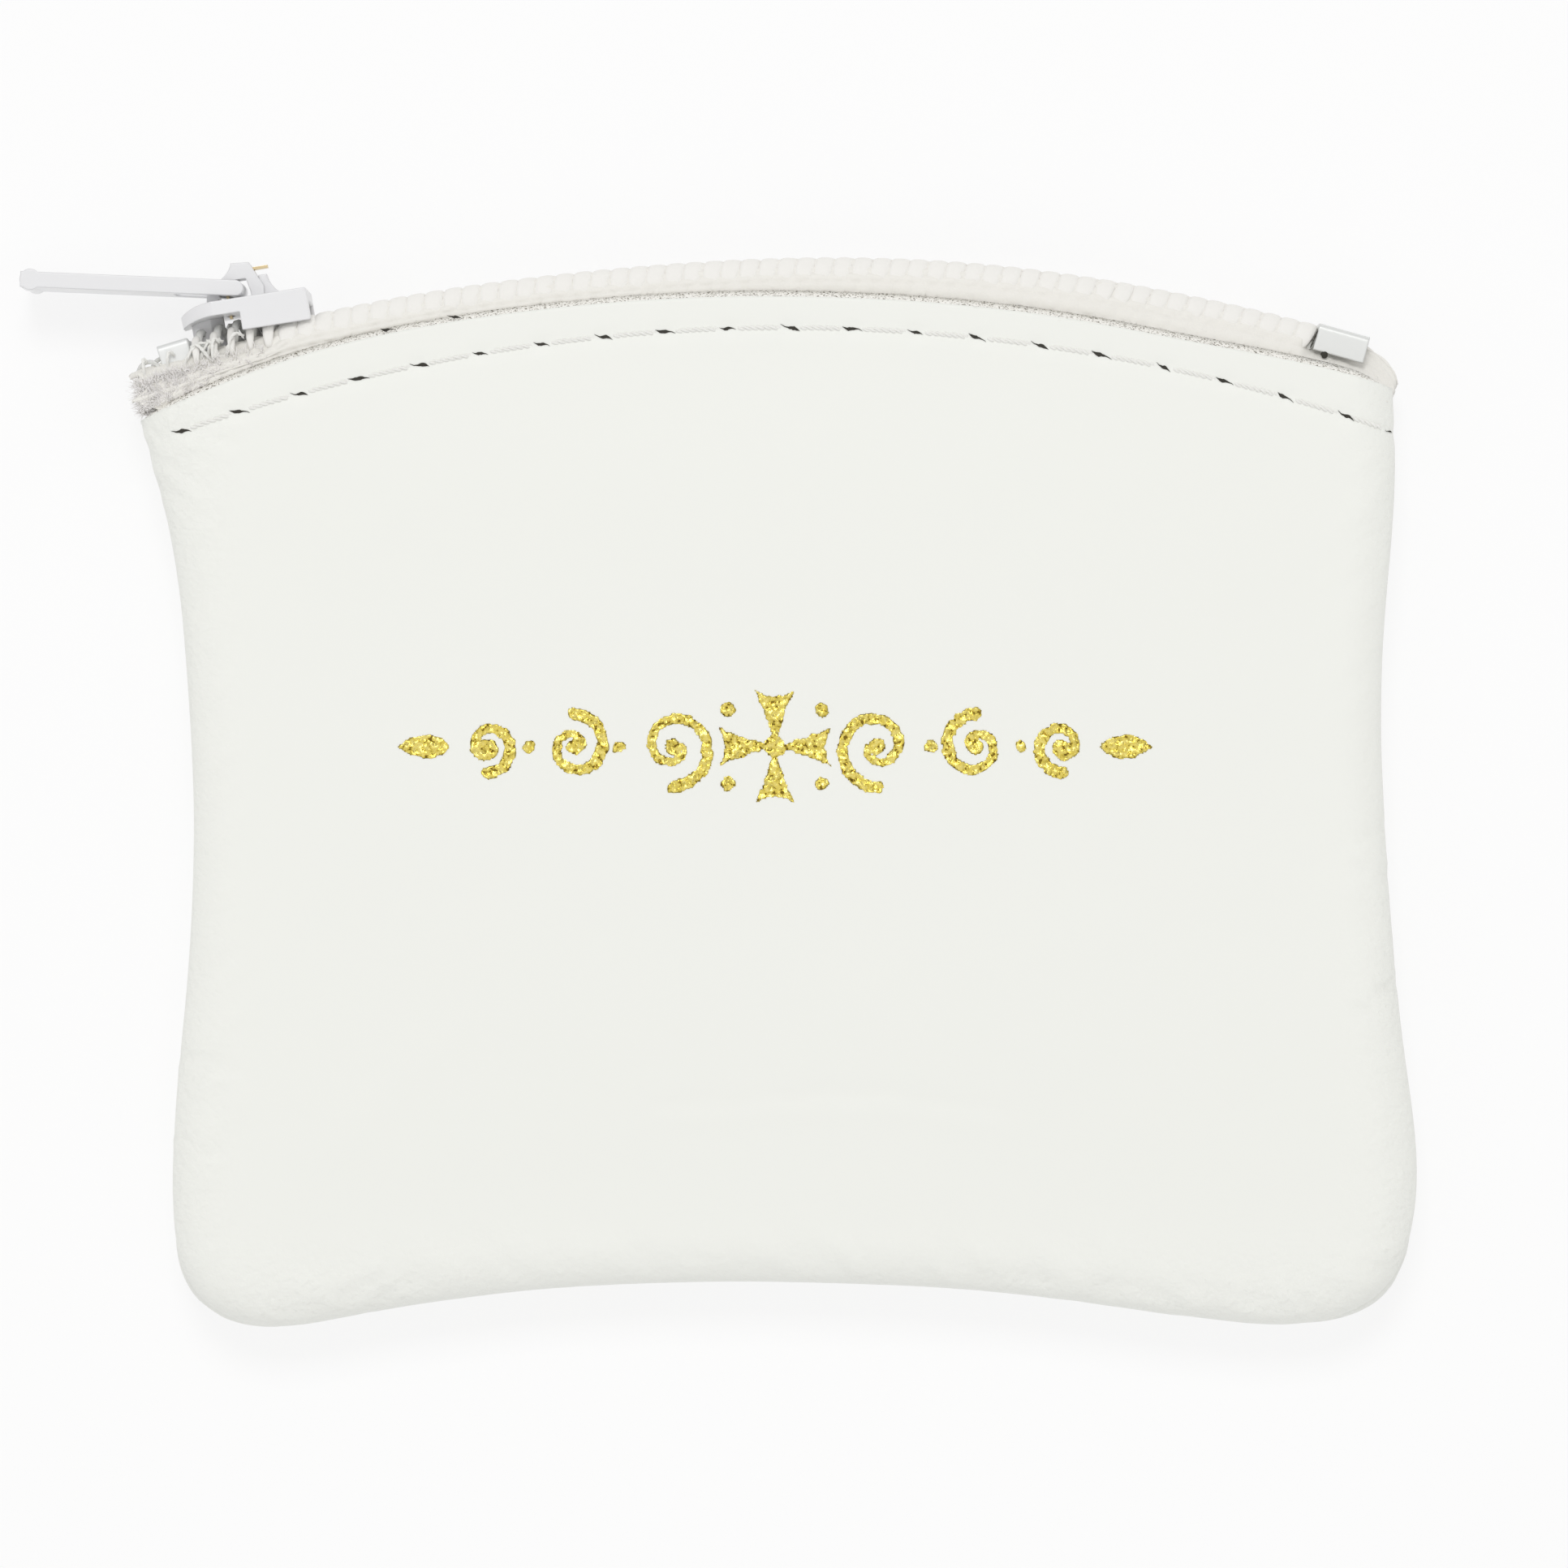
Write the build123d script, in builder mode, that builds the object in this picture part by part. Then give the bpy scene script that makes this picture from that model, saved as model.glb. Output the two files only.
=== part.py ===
from build123d import *

import math
import os

# A small leather zip pouch, sewn inside out and turned, with an arched zip along its mouth.
# Millimetres. The pouch lies on its back: +X runs along the mouth towards the closed end of the
# zip, +Y points from the bottom seam to the zip, +Z out of the front panel. The origin is the
# middle of the back panel's face, which rests on z = 0.

# ---- driving dimensions -------------------------------------------------------------------

THICKNESS = 7.6            # over both leather panels
MIDDLE = THICKNESS / 2     # the plane in which the two panels and the two zip tapes meet
LEATHER = 1.1
PARTING = 0.05             # each panel stays this far from the middle plane
EDGE_ROUND = 2.6           # the leather turns over the seam with this radius
EDGE_ROUND_INSIDE = 1.5
ALLOWANCE = 5.0            # seam allowance turned inside, measured from the outline
SEAM_INSET = 2.6           # the seam's stitches, measured from the outline
SEAM_PITCH = 4.2

# The zip lies on an arc about (ARC_X, ARC_Y); angles are clockwise from +Y.
ARC_X = -1.5
ARC_Y = -110.7
MOUTH_RADIUS = 147.2       # cut edge of the leather
ALLOWANCE_STOP = 145.4     # the turned-in allowance ends short of the zip
TAPE_FOOT = 139.5          # lower edge of the tape, inside the pouch
TAPE_SHOULDER = 148.2
TAPE = 0.45
TAPE_OUTSIDE = 2.7         # the tape's outer face, from the middle plane
TAPE_SEWN = (-16.55, 16.38)
TAPE_ENDS = (-17.74, 17.25)
CHAIN_RADIUS = 149.0       # centre of the coil's turns
CHAIN_TOP = 150.02
COIL_PITCH = 1.33
COIL_ENDS = (-15.95, 16.2)
COIL_WIRE = 0.5

TAPE_EDGE = 0.15           # the turned-in tape stops this far from the middle plane
TAPE_CLEAR = 0.2           # past the leather's edge the tape is wider than inside
COIL_HEIGHT = 1.6
COIL_TIP = -0.3            # the turns reach this far over the middle plane
COIL_HEEL = 1.9
COIL_CORD = 0.24           # radius
COIL_CORD_AT = 1.11
STITCHING = 0.2            # thickness of the thread over the coil
STITCHING_WIDTH = 0.9
STITCHING_AT = 1.25
STITCHING_JOINED = 0.8     # the thread between two bars, as a share of their thickness
STITCHING_ENDS = (-15.7, 14.6)
PARTED_FROM = -18.5        # the zip is open from here to the slider's neck
PARTED_HALF = 0.95
NECK_BEHIND = 0.2          # the sides meet this many degrees before the slider's middle

TOP_STOP_ANGLE = -16.5
TOP_STOP_HEIGHT = 2.05
TOP_STOP_WIDTH = 1.15
TOP_STOP_LENGTH = 2.3
TOP_STOP_AT = 1.53
BOTTOM_STOP_ANGLE = 15.7
BOTTOM_STOP_FOOT = 148.6
BOTTOM_STOP_TOP = 150.55
BOTTOM_STOP_HALF = 2.25
BOTTOM_STOP_LENGTH = 3.7
STOP_METAL = 0.3
STOP_ROUND = 0.4

SLIDER_ANGLE = -14.36      # where the closed zip's slider rests
SLIDER_RADIUS = 151.95      # top face of the slider's upper plate
SLIDER_LIFT = 5.1          # its nose stands up by this much, pulled by the top stops
PULL_LENGTH = 15.3
PULL_RISE = 2.4            # the pull at rest, above -X
SLIDER_HALF = 3.6
SHOULDER_AT = -2.2
SHOULDER_HALF = 3.5
TAIL_HALF = 2.9
NOSE_BEND = (-2.2, 0)
NOSE_TOP = (-4.65, -0.62)
NOSE_UNDER = (-4.55, -1.45)
SLIDER_ROUND = 0.18
PLATE = 1.0
PLATE_TAIL = 4.65
FLANGE = 1.3
FLANGE_FRONT = -0.25
CHANNEL_HALF = 2.5
NECK_HALF = 0.7
NECK_TOP = 0.9             # it starts this far into the plate
LOWER_PLATE_TOP = 4.85      # below the upper plate's face
LOWER_PLATE = 0.8
LOWER_PLATE_HALF = 2.05
LOWER_PLATE_LENGTH = 8.4
LUG_FRONT = 1.3
LUG_BACK = 2.85
LUG_TOP = 1.55
LUG_TOP_END = 1.9
LUG_WIDTH = 1.3
CROWN_WIDTH = 2.0
CROWN_INSIDE = 1.45
CROWN_FOOT = 0.6           # how deep its feet sit in the plate
CROWN_CLEAR = 0.05         # between the crown and the lug that it straddles
SPRING = 0.2
SPRING_WIDTH = 0.8
SPRING_AT = 2.1
SPRING_TIP = 2.05
PAWL_AT = -1.1
PAWL_BENDS = ((-0.35, SPRING_AT), (PAWL_AT, 1.35))      # the spring turns down inside the crown
PAWL_REACH = 1.2
PIVOT = (-0.35, 0.79)      # of the pull, in the slider's u and v
PULL_END = 0.55            # radius of the end that turns in the crown
PULL_THICK = 1.1
PULL_WINDOW_AT = 0.25
PULL_WIDTH = 4.6
PULL_TIP = 0.75            # radius of the bead at its tip
PULL_TIP_AT = 0.7
PULL_WINDOW = 4.2
PULL_WINDOW_WIDTH = 2.5

TOPSTITCH_X = -0.5         # the decorative stitches run on their own, tighter arc
TOPSTITCH_Y = -94.8
TOPSTITCH_RADIUS = 129.1
TOPSTITCH_FIRST = -19.4
TOPSTITCH_STEP = 1.94
TOPSTITCHES = 20
TOPSTITCH_THREAD = 0.22    # radius of the thread
TOPSTITCH_BAR = 3.0
BOBBIN_THREAD = 0.2
SEAM_THREAD = 0.18
SEAM_START = 6.5           # the seam's first stitch, below the mouth's end
GROOVE_WIDTH = 0.9
GROOVE_DEPTH = 0.3

FOIL = 0.05
FOIL_X = -1.3
FOIL_Y = 4.6
CROSS_REACH = 3.95
CROSS_WAIST = 0.5
CROSS_FLARE = 1.35
SCROLLS = ((7.2, 3.3), (14.2, 2.8), (20.3, 2.3))    # middle and radius
SCROLL_TURNS = 1.25
SCROLL_STROKE = 0.9
SCROLL_STEPS = 24
SCROLL_CLOSES = 0.74       # share of its radius that a scroll loses on its way in
SCROLL_EYE = 0.62          # radius of its eye, as a share of the stroke
BEADS = ((3.3, 2.6, 0.5), (3.3, -2.6, 0.5), (11.1, 0.0, 0.45), (17.4, 0.0, 0.4))
LEAF_AT = 23.0
LEAF_LENGTH = 3.75
LEAF_HALF = 0.85
LEAF_WIDEST = 0.42         # share of its length

# The pouch's outline, from the left end of the mouth round the bottom to its right end.
OUTLINE = [
    (-45.9, 29.1), (-44.4, 20.5), (-43.2, 10.0), (-42.7, 0.0), (-43.2, -13.0), (-44.1, -28.0),
    (-42.4, -34.2), (-38.0, -36.5), (-32.5, -36.1), (-21.0, -34.3), (-1.0, -33.5), (19.0, -34.7),
    (30.0, -36.2), (36.5, -36.4), (41.9, -34.1), (44.1, -29.0),
    (43.5, -17.5), (42.2, -3.0), (42.0, 12.0), (42.8, 24.0), (42.6, 30.2),
]
ABOVE_MOUTH = 46.0


# ---- shared geometry ----------------------------------------------------------------------

def on_arc(radius, degrees):
    """The point of the zip's arc at an angle clockwise from +Y."""
    turn = math.radians(degrees)
    return (ARC_X + radius * math.sin(turn), ARC_Y + radius * math.cos(turn))


def across_zip(degrees):
    """A plane square to the zip: its x is the radius, its y the height."""
    turn = math.radians(degrees)
    return Plane(
        origin=(ARC_X, ARC_Y, 0),
        x_dir=(math.sin(turn), math.cos(turn), 0),
        z_dir=(math.cos(turn), -math.sin(turn), 0),
    )


ZIP_AXIS = Axis((ARC_X, ARC_Y, 0), (0, 0, -1))


def inset_points(inset):
    """The outline's points, each moved inwards along its own normal."""
    moved = []
    for index, (x, y) in enumerate(OUTLINE):
        before = OUTLINE[max(index - 1, 0)]
        after = OUTLINE[min(index + 1, len(OUTLINE) - 1)]
        along = Vector(after[0] - before[0], after[1] - before[1]).normalized()
        moved.append((x - along.Y * inset, y + along.X * inset))
    return moved


def pouch_outline(inset):
    """The pouch's outline as a sketch, moved inwards and run straight on past the mouth."""
    points = inset_points(inset)
    start = Vector(points[1]) - Vector(points[0])
    end = Vector(points[-1]) - Vector(points[-2])
    left = Vector(points[0]) + start * ((ABOVE_MOUTH - points[0][1]) / start.Y)
    right = Vector(points[-1]) + end * ((ABOVE_MOUTH - points[-1][1]) / end.Y)
    with BuildSketch() as shape:
        with BuildLine():
            Spline(*points, tangents=(start, end))
            Polyline(points[-1], right, left, points[0])
        make_face()
    return shape.sketch


def rim_of(face):
    """The edges of a flat face, without the one that lies past the mouth."""
    return [edge for edge in face.edges() if edge.center().Y < ABOVE_MOUTH - 1]


def write(part, name):
    """Label a finished piece and write it."""
    part.label = name
    export_step(part, f"parts/{name}.step")


def write_both(front_piece, name):
    """Write a front piece and, mirrored in the middle plane, its back twin."""
    write(front_piece, "front_" + name)
    write(mirror(front_piece, about=Plane.XY.offset(MIDDLE)), "back_" + name)


os.makedirs("parts", exist_ok=True)


# ---- leather panels -----------------------------------------------------------------------
# Each panel is a shallow dish of leather. Its edge turns over and in to the seam allowance.

FRONT_SEAM = Plane.XY.offset(MIDDLE + PARTING)

with BuildPart() as hollow:
    with BuildSketch(FRONT_SEAM):
        add(pouch_outline(LEATHER))
    extrude(amount=MIDDLE - PARTING - LEATHER)
    fillet(rim_of(hollow.faces().sort_by(Axis.Z)[-1]), EDGE_ROUND_INSIDE)

with BuildPart() as panel:
    with BuildSketch(FRONT_SEAM):
        add(pouch_outline(0))
    extrude(amount=MIDDLE - PARTING)
    fillet(rim_of(panel.faces().sort_by(Axis.Z)[-1]), EDGE_ROUND)
    add(hollow.part, mode=Mode.SUBTRACT)
    # the seam allowance, which ends short of the zip
    with BuildSketch(FRONT_SEAM):
        add(pouch_outline(LEATHER / 2))
        add(pouch_outline(ALLOWANCE), mode=Mode.SUBTRACT)
        with Locations((ARC_X, ARC_Y)):
            Circle(ALLOWANCE_STOP, mode=Mode.INTERSECT)
    extrude(amount=LEATHER)
    # the cut edge along the mouth
    with BuildSketch():
        with Locations((ARC_X, ARC_Y)):
            Circle(MOUTH_RADIUS)
    extrude(amount=THICKNESS, mode=Mode.INTERSECT)
    # the groove that the topstitching pulls into the leather
    with BuildSketch(Plane.XY.offset(THICKNESS)):
        with Locations((TOPSTITCH_X, TOPSTITCH_Y)):
            Circle(TOPSTITCH_RADIUS + GROOVE_WIDTH / 2)
            Circle(TOPSTITCH_RADIUS - GROOVE_WIDTH / 2, mode=Mode.SUBTRACT)
        with Locations((0, ABOVE_MOUTH)):
            Rectangle(2 * ABOVE_MOUTH, ABOVE_MOUTH, mode=Mode.INTERSECT)
    extrude(amount=-GROOVE_DEPTH, mode=Mode.SUBTRACT)

write_both(panel.part, "panel")


# ---- zip tapes ----------------------------------------------------------------------------
# Each tape is sewn inside its panel, comes up past the leather's edge and turns in to the chain.
# Left of the slider's neck the two sides are parted.

with BuildPart() as parting:
    with BuildSketch(across_zip(PARTED_FROM)):
        with Locations((CHAIN_RADIUS, MIDDLE)):
            Rectangle(4 * COIL_HEIGHT, 2 * PARTED_HALF)
    revolve(axis=ZIP_AXIS, revolution_arc=SLIDER_ANGLE - NECK_BEHIND - PARTED_FROM)

with BuildPart() as tape:
    for foot, ends in ((TAPE_FOOT, TAPE_SEWN), (MOUTH_RADIUS + TAPE_CLEAR, TAPE_ENDS)):
        outer, inner = MIDDLE + TAPE_OUTSIDE, MIDDLE + TAPE_OUTSIDE - TAPE
        with BuildSketch(across_zip(ends[0])):
            with BuildLine():
                FilletPolyline(
                    (foot, inner),
                    (TAPE_SHOULDER - TAPE, inner),
                    (TAPE_SHOULDER - TAPE, MIDDLE + TAPE_EDGE),
                    (TAPE_SHOULDER, MIDDLE + TAPE_EDGE),
                    (TAPE_SHOULDER, outer),
                    (foot, outer),
                    radius=(TAPE / 2, TAPE / 5, TAPE / 5, TAPE),
                )
                Line((foot, outer), (foot, inner))
            make_face()
        revolve(axis=ZIP_AXIS, revolution_arc=ends[1] - ends[0])
    add(parting.part, mode=Mode.SUBTRACT)

write_both(tape.part, "zip_tape")


# ---- zip chain ----------------------------------------------------------------------------
# A coil of nylon wire on each tape. Its turns reach over the middle and lie between the turns
# of the other coil. A cord runs through the turns, and thread holds them on the tape.

COIL_STEP = math.degrees(COIL_PITCH / CHAIN_RADIUS)
COIL_TURNS = int((COIL_ENDS[1] - COIL_ENDS[0]) / COIL_STEP)


def coil(first):
    """One coil: its turns, joined at the heel, starting at an angle of the zip's arc."""
    reach = COIL_HEEL - COIL_TIP
    with BuildPart() as turns:
        for turn in range(COIL_TURNS):
            with BuildSketch(across_zip(first + turn * COIL_STEP)):
                with Locations((CHAIN_RADIUS, MIDDLE + (COIL_HEEL + COIL_TIP) / 2)):
                    RectangleRounded(COIL_HEIGHT, reach, COIL_WIRE)
                    Rectangle(COIL_HEIGHT - 2 * COIL_WIRE, reach - 2 * COIL_WIRE, mode=Mode.SUBTRACT)
        extrude(amount=COIL_WIRE / 2, both=True)
        with BuildSketch(across_zip(first)):
            with Locations((CHAIN_RADIUS, MIDDLE + COIL_HEEL - COIL_WIRE / 2)):
                Rectangle(COIL_HEIGHT / 2, COIL_WIRE)
        revolve(axis=ZIP_AXIS, revolution_arc=(COIL_TURNS - 1) * COIL_STEP)
        add(parting.part, mode=Mode.SUBTRACT)
    return turns.part


write(coil(COIL_ENDS[0]), "front_coil")
write(mirror(coil(COIL_ENDS[0] + COIL_STEP / 2), about=Plane.XY.offset(MIDDLE)), "back_coil")

with BuildPart() as coil_cord:
    with BuildSketch(across_zip(COIL_ENDS[0])):
        with Locations((CHAIN_RADIUS, MIDDLE + COIL_CORD_AT)):
            Circle(COIL_CORD)
    revolve(axis=ZIP_AXIS, revolution_arc=COIL_ENDS[1] - COIL_ENDS[0])

write_both(coil_cord.part, "coil_cord")

with BuildPart() as coil_stitching:
    loops = int((STITCHING_ENDS[1] - STITCHING_ENDS[0]) / COIL_STEP)
    for loop in range(loops):
        with BuildSketch(across_zip(STITCHING_ENDS[0] + loop * COIL_STEP)):
            with Locations((CHAIN_TOP - STITCHING / 2, MIDDLE + STITCHING_AT)):
                Rectangle(STITCHING, STITCHING_WIDTH)
    extrude(amount=COIL_PITCH / 3, both=True)
    with BuildSketch(across_zip(STITCHING_ENDS[0])):
        with Locations((CHAIN_TOP - STITCHING * (1 - STITCHING_JOINED / 2), MIDDLE + STITCHING_AT)):
            Rectangle(STITCHING * STITCHING_JOINED, STITCHING_WIDTH / 2)
    revolve(axis=ZIP_AXIS, revolution_arc=(loops - 1) * COIL_STEP)

write_both(coil_stitching.part, "coil_stitching")

with BuildPart() as top_stop:
    with BuildSketch(across_zip(TOP_STOP_ANGLE)):
        with Locations((TAPE_SHOULDER + TAPE_EDGE / 3 + TOP_STOP_HEIGHT / 2, MIDDLE + TOP_STOP_AT)):
            RectangleRounded(TOP_STOP_HEIGHT, TOP_STOP_WIDTH, STOP_ROUND)
    extrude(amount=TOP_STOP_LENGTH / 2, both=True)
    fillet(top_stop.faces().filter_by(GeomType.PLANE).sort_by(Axis.X)[-1].edges(), STOP_ROUND / 2)

write_both(top_stop.part, "top_stop")

with BuildPart() as bottom_stop:
    with BuildSketch(across_zip(BOTTOM_STOP_ANGLE)):
        with Locations((BOTTOM_STOP_FOOT, MIDDLE)):
            RectangleRounded(2 * (BOTTOM_STOP_TOP - BOTTOM_STOP_FOOT), 2 * BOTTOM_STOP_HALF, STOP_ROUND)
            Rectangle(2 * (CHAIN_TOP - STOP_METAL / 2 - BOTTOM_STOP_FOOT),
                      2 * (BOTTOM_STOP_HALF - STOP_METAL), mode=Mode.SUBTRACT)
        with Locations((BOTTOM_STOP_FOOT + CHAIN_TOP / 2, MIDDLE)):
            Rectangle(CHAIN_TOP, 4 * BOTTOM_STOP_HALF, mode=Mode.INTERSECT)
    extrude(amount=BOTTOM_STOP_LENGTH / 2, both=True)

write(bottom_stop.part, "bottom_stop")


# ---- sewing -------------------------------------------------------------------------------

def stitch(half_length, thread, depth):
    """One visible stitch: a bar along X at z = 0 whose ends go down through the work."""
    with BuildPart() as staple:
        with BuildLine(Plane.XZ) as path:
            FilletPolyline(
                (-half_length, -depth), (-half_length, 0), (half_length, 0), (half_length, -depth),
                radius=1.4 * thread,
            )
        with BuildSketch(Plane(origin=path.line @ 0, z_dir=path.line % 0)):
            Circle(thread)
        sweep()
    return staple.part


def topstitch_place(degrees, height):
    """A plane on the topstitch arc: x along the row, z out of the leather."""
    turn = math.radians(degrees)
    return Plane(
        origin=(
            TOPSTITCH_X + TOPSTITCH_RADIUS * math.sin(turn),
            TOPSTITCH_Y + TOPSTITCH_RADIUS * math.cos(turn),
            height,
        ),
        x_dir=(math.cos(turn), -math.sin(turn), 0),
        z_dir=(0, 0, 1),
    )


BOBBIN_AT = TAPE_OUTSIDE - TAPE - BOBBIN_THREAD
TOPSTITCH_AT = MIDDLE - GROOVE_DEPTH + TOPSTITCH_THREAD / 10

top_stitch = stitch(TOPSTITCH_BAR / 2, TOPSTITCH_THREAD, TOPSTITCH_AT - BOBBIN_AT)
with BuildPart() as topstitch_thread:
    for number in range(TOPSTITCHES):
        place = topstitch_place(TOPSTITCH_FIRST + (number + 0.5) * TOPSTITCH_STEP, MIDDLE + TOPSTITCH_AT)
        add(top_stitch.moved(place.location))

write_both(topstitch_thread.part, "topstitch_thread")

with BuildPart() as bobbin_thread:
    first = topstitch_place(TOPSTITCH_FIRST + TOPSTITCH_STEP / 4, MIDDLE + BOBBIN_AT)
    with BuildSketch(Plane(origin=first.origin, z_dir=first.x_dir)):
        Circle(BOBBIN_THREAD)
    revolve(
        axis=Axis((TOPSTITCH_X, TOPSTITCH_Y, 0), (0, 0, -1)),
        revolution_arc=(TOPSTITCHES - 0.5) * TOPSTITCH_STEP,
    )

write_both(bobbin_thread.part, "bobbin_thread")

# The seam's thread, on the inside of the allowance, from one end of the zip to the other.
seam_line = Spline(*inset_points(SEAM_INSET))
seam_stitch = stitch(SEAM_PITCH * 0.38, SEAM_THREAD, LEATHER + SEAM_THREAD / 2)
seam_stitches = int((seam_line.length - 2 * SEAM_START) / SEAM_PITCH)
with BuildPart() as seam_thread:
    for number in range(seam_stitches):
        along = (SEAM_START + (number + 0.5) * SEAM_PITCH) / seam_line.length
        point = seam_line @ along
        place = Plane(
            origin=(point.X, point.Y, MIDDLE + PARTING + LEATHER + SEAM_THREAD / 2),
            x_dir=seam_line % along,
            z_dir=(0, 0, 1),
        )
        add(seam_stitch.moved(place.location))

write_both(seam_thread.part, "seam_thread")


# ---- foil ornament ------------------------------------------------------------------------
# A flared cross between two runs of scrolls, pressed on the front panel.

def scroll(x, radius, turn, upside):
    """A spiral stroke about (x, 0) that thins towards its eye."""
    outer, inner = [], []
    for step in range(SCROLL_STEPS + 1):
        part_way = step / SCROLL_STEPS
        angle = math.pi * (0.5 * upside + turn * SCROLL_TURNS * 2 * part_way)
        reach = radius * (1 - SCROLL_CLOSES * part_way)
        half = SCROLL_STROKE * (1 - 0.5 * part_way) / 2
        for line, distance in ((outer, reach), (inner, reach - 2 * half)):
            line.append((x + distance * math.cos(angle), distance * math.sin(angle)))
    with BuildSketch() as shape:
        with BuildLine():
            Spline(*outer)
            Line(outer[-1], inner[-1])
            Spline(*reversed(inner))
            Line(inner[0], outer[0])
        make_face()
        with Locations((x, 0)):
            Circle(SCROLL_STROKE * SCROLL_EYE)
    return shape.sketch


def leaf(x, length, half_width):
    """A pointed leaf along X."""
    with BuildSketch() as shape:
        with BuildLine():
            ThreePointArc((x, 0), (x + length * LEAF_WIDEST, half_width), (x + length, 0))
            ThreePointArc((x + length, 0), (x + length * LEAF_WIDEST, -half_width), (x, 0))
        make_face()
    return shape.sketch


with BuildSketch() as cross_arm:
    with BuildLine():
        ThreePointArc((0, 0), (CROSS_WAIST, CROSS_REACH * 0.45), (CROSS_FLARE, CROSS_REACH))
        ThreePointArc((CROSS_FLARE, CROSS_REACH), (0, CROSS_REACH * 0.9), (-CROSS_FLARE, CROSS_REACH))
        ThreePointArc((-CROSS_FLARE, CROSS_REACH), (-CROSS_WAIST, CROSS_REACH * 0.45), (0, 0))
    make_face()

with BuildSketch() as ornament:
    for quarter in range(4):
        add(cross_arm.sketch.rotate(Axis.Z, 90 * quarter))
    Circle(CROSS_WAIST * 1.5)
    for mirrored in (False, True):
        one_side = []
        for number, (x, radius) in enumerate(SCROLLS):
            way = 1 if number % 2 else -1
            one_side.append(scroll(x, radius, way, way))
        one_side.append(leaf(LEAF_AT, LEAF_LENGTH, LEAF_HALF))
        for piece in one_side:
            add(mirror(piece, about=Plane.YZ) if mirrored else piece)
        for x, y, radius in BEADS:
            with Locations((-x if mirrored else x, y)):
                Circle(radius)

with BuildPart() as foil_ornament:
    with BuildSketch(Plane(origin=(FOIL_X, FOIL_Y, THICKNESS))):
        add(ornament.sketch)
    extrude(amount=FOIL)

write(foil_ornament.part, "foil_ornament")


# ---- slider -------------------------------------------------------------------------------
# Local directions: u back along the zip, v out of the chain, w across it (the height).

tilt = math.radians(-SLIDER_ANGLE - SLIDER_LIFT)
seat = on_arc(SLIDER_RADIUS, SLIDER_ANGLE)
along_slider = (math.cos(tilt), math.sin(tilt), 0)
out_of_chain = (-math.sin(tilt), math.cos(tilt), 0)
SLIDER_SIDE = Plane(origin=(*seat, MIDDLE), x_dir=along_slider, z_dir=(0, 0, 1))
SLIDER_SEAT = Plane(origin=(*seat, MIDDLE), x_dir=along_slider, z_dir=out_of_chain)


# The upper plate seen from outside: a rounded shield with its nose to the left.
with BuildSketch() as shield:
    with BuildLine():
        ThreePointArc((SHOULDER_AT, -SHOULDER_HALF), (NOSE_TOP[0], 0), (SHOULDER_AT, SHOULDER_HALF))
        Polyline((SHOULDER_AT, SHOULDER_HALF), (PLATE_TAIL, TAIL_HALF), (PLATE_TAIL, -TAIL_HALF),
                 (SHOULDER_AT, -SHOULDER_HALF))
    make_face()

with BuildPart() as slider_body:
    # upper plate, its nose turned down, with a flange down each side of the chain
    with BuildSketch(SLIDER_SIDE):
        with BuildLine():
            Polyline(
                NOSE_BEND, (PLATE_TAIL, 0), (PLATE_TAIL, -PLATE - FLANGE),
                (FLANGE_FRONT, -PLATE - FLANGE), (FLANGE_FRONT, -PLATE), (NOSE_BEND[0], -PLATE),
            )
            TangentArc((NOSE_BEND[0], -PLATE), NOSE_UNDER, tangent=(-1, 0))
            Line(NOSE_UNDER, NOSE_TOP)
            TangentArc(NOSE_BEND, NOSE_TOP, tangent=(-1, 0))
        make_face()
    extrude(amount=SLIDER_HALF, both=True)
    with BuildSketch(SLIDER_SEAT.offset(-SLIDER_HALF)):
        add(shield.sketch)
    extrude(amount=2 * SLIDER_HALF, mode=Mode.INTERSECT)
    with BuildSketch(SLIDER_SEAT.offset(-PLATE)):
        with Locations(((PLATE_TAIL + FLANGE_FRONT) / 2, 0)):
            Rectangle(PLATE_TAIL - FLANGE_FRONT + PLATE, 2 * CHANNEL_HALF)
    extrude(amount=-2 * FLANGE, mode=Mode.SUBTRACT)
    tail = slider_body.faces().sort_by(Axis((*seat, MIDDLE), along_slider))[-1]
    fillet(tail.edges(), SLIDER_ROUND)
    # the neck that parts the two sides of the zip
    with BuildSketch(SLIDER_SEAT.offset(-NECK_TOP)):
        with BuildLine():
            Polyline((-4.0, 0), (-3.4, NECK_HALF), (-2.6, NECK_HALF), (-1.65, 0))
            mirror(about=Plane.XZ)
        make_face()
    extrude(amount=-(LOWER_PLATE_TOP - NECK_TOP))
    # the lower plate, inside the pouch
    with BuildSketch(SLIDER_SEAT.offset(-LOWER_PLATE_TOP)):
        SlotOverall(LOWER_PLATE_LENGTH, 2 * LOWER_PLATE_HALF)
    extrude(amount=-LOWER_PLATE)
    # rear lug that seats the spring
    with BuildSketch(SLIDER_SIDE):
        with BuildLine():
            Polyline((LUG_BACK, 0), (LUG_FRONT, 0), (LUG_FRONT, LUG_TOP), (LUG_TOP_END, LUG_TOP))
            ThreePointArc((LUG_TOP_END, LUG_TOP), (2.2, 0.65), (LUG_BACK, 0))
        make_face()
    extrude(amount=LUG_WIDTH / 2, both=True)
    # the hole that the spring's pawl reaches through
    with BuildSketch(SLIDER_SEAT.offset(-PLATE)):
        with Locations((PAWL_AT, 0)):
            Rectangle(SPRING * 2.5, SPRING_WIDTH + SPRING)
    extrude(amount=2 * PLATE, mode=Mode.SUBTRACT)

write(slider_body.part, "slider_body")

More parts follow.
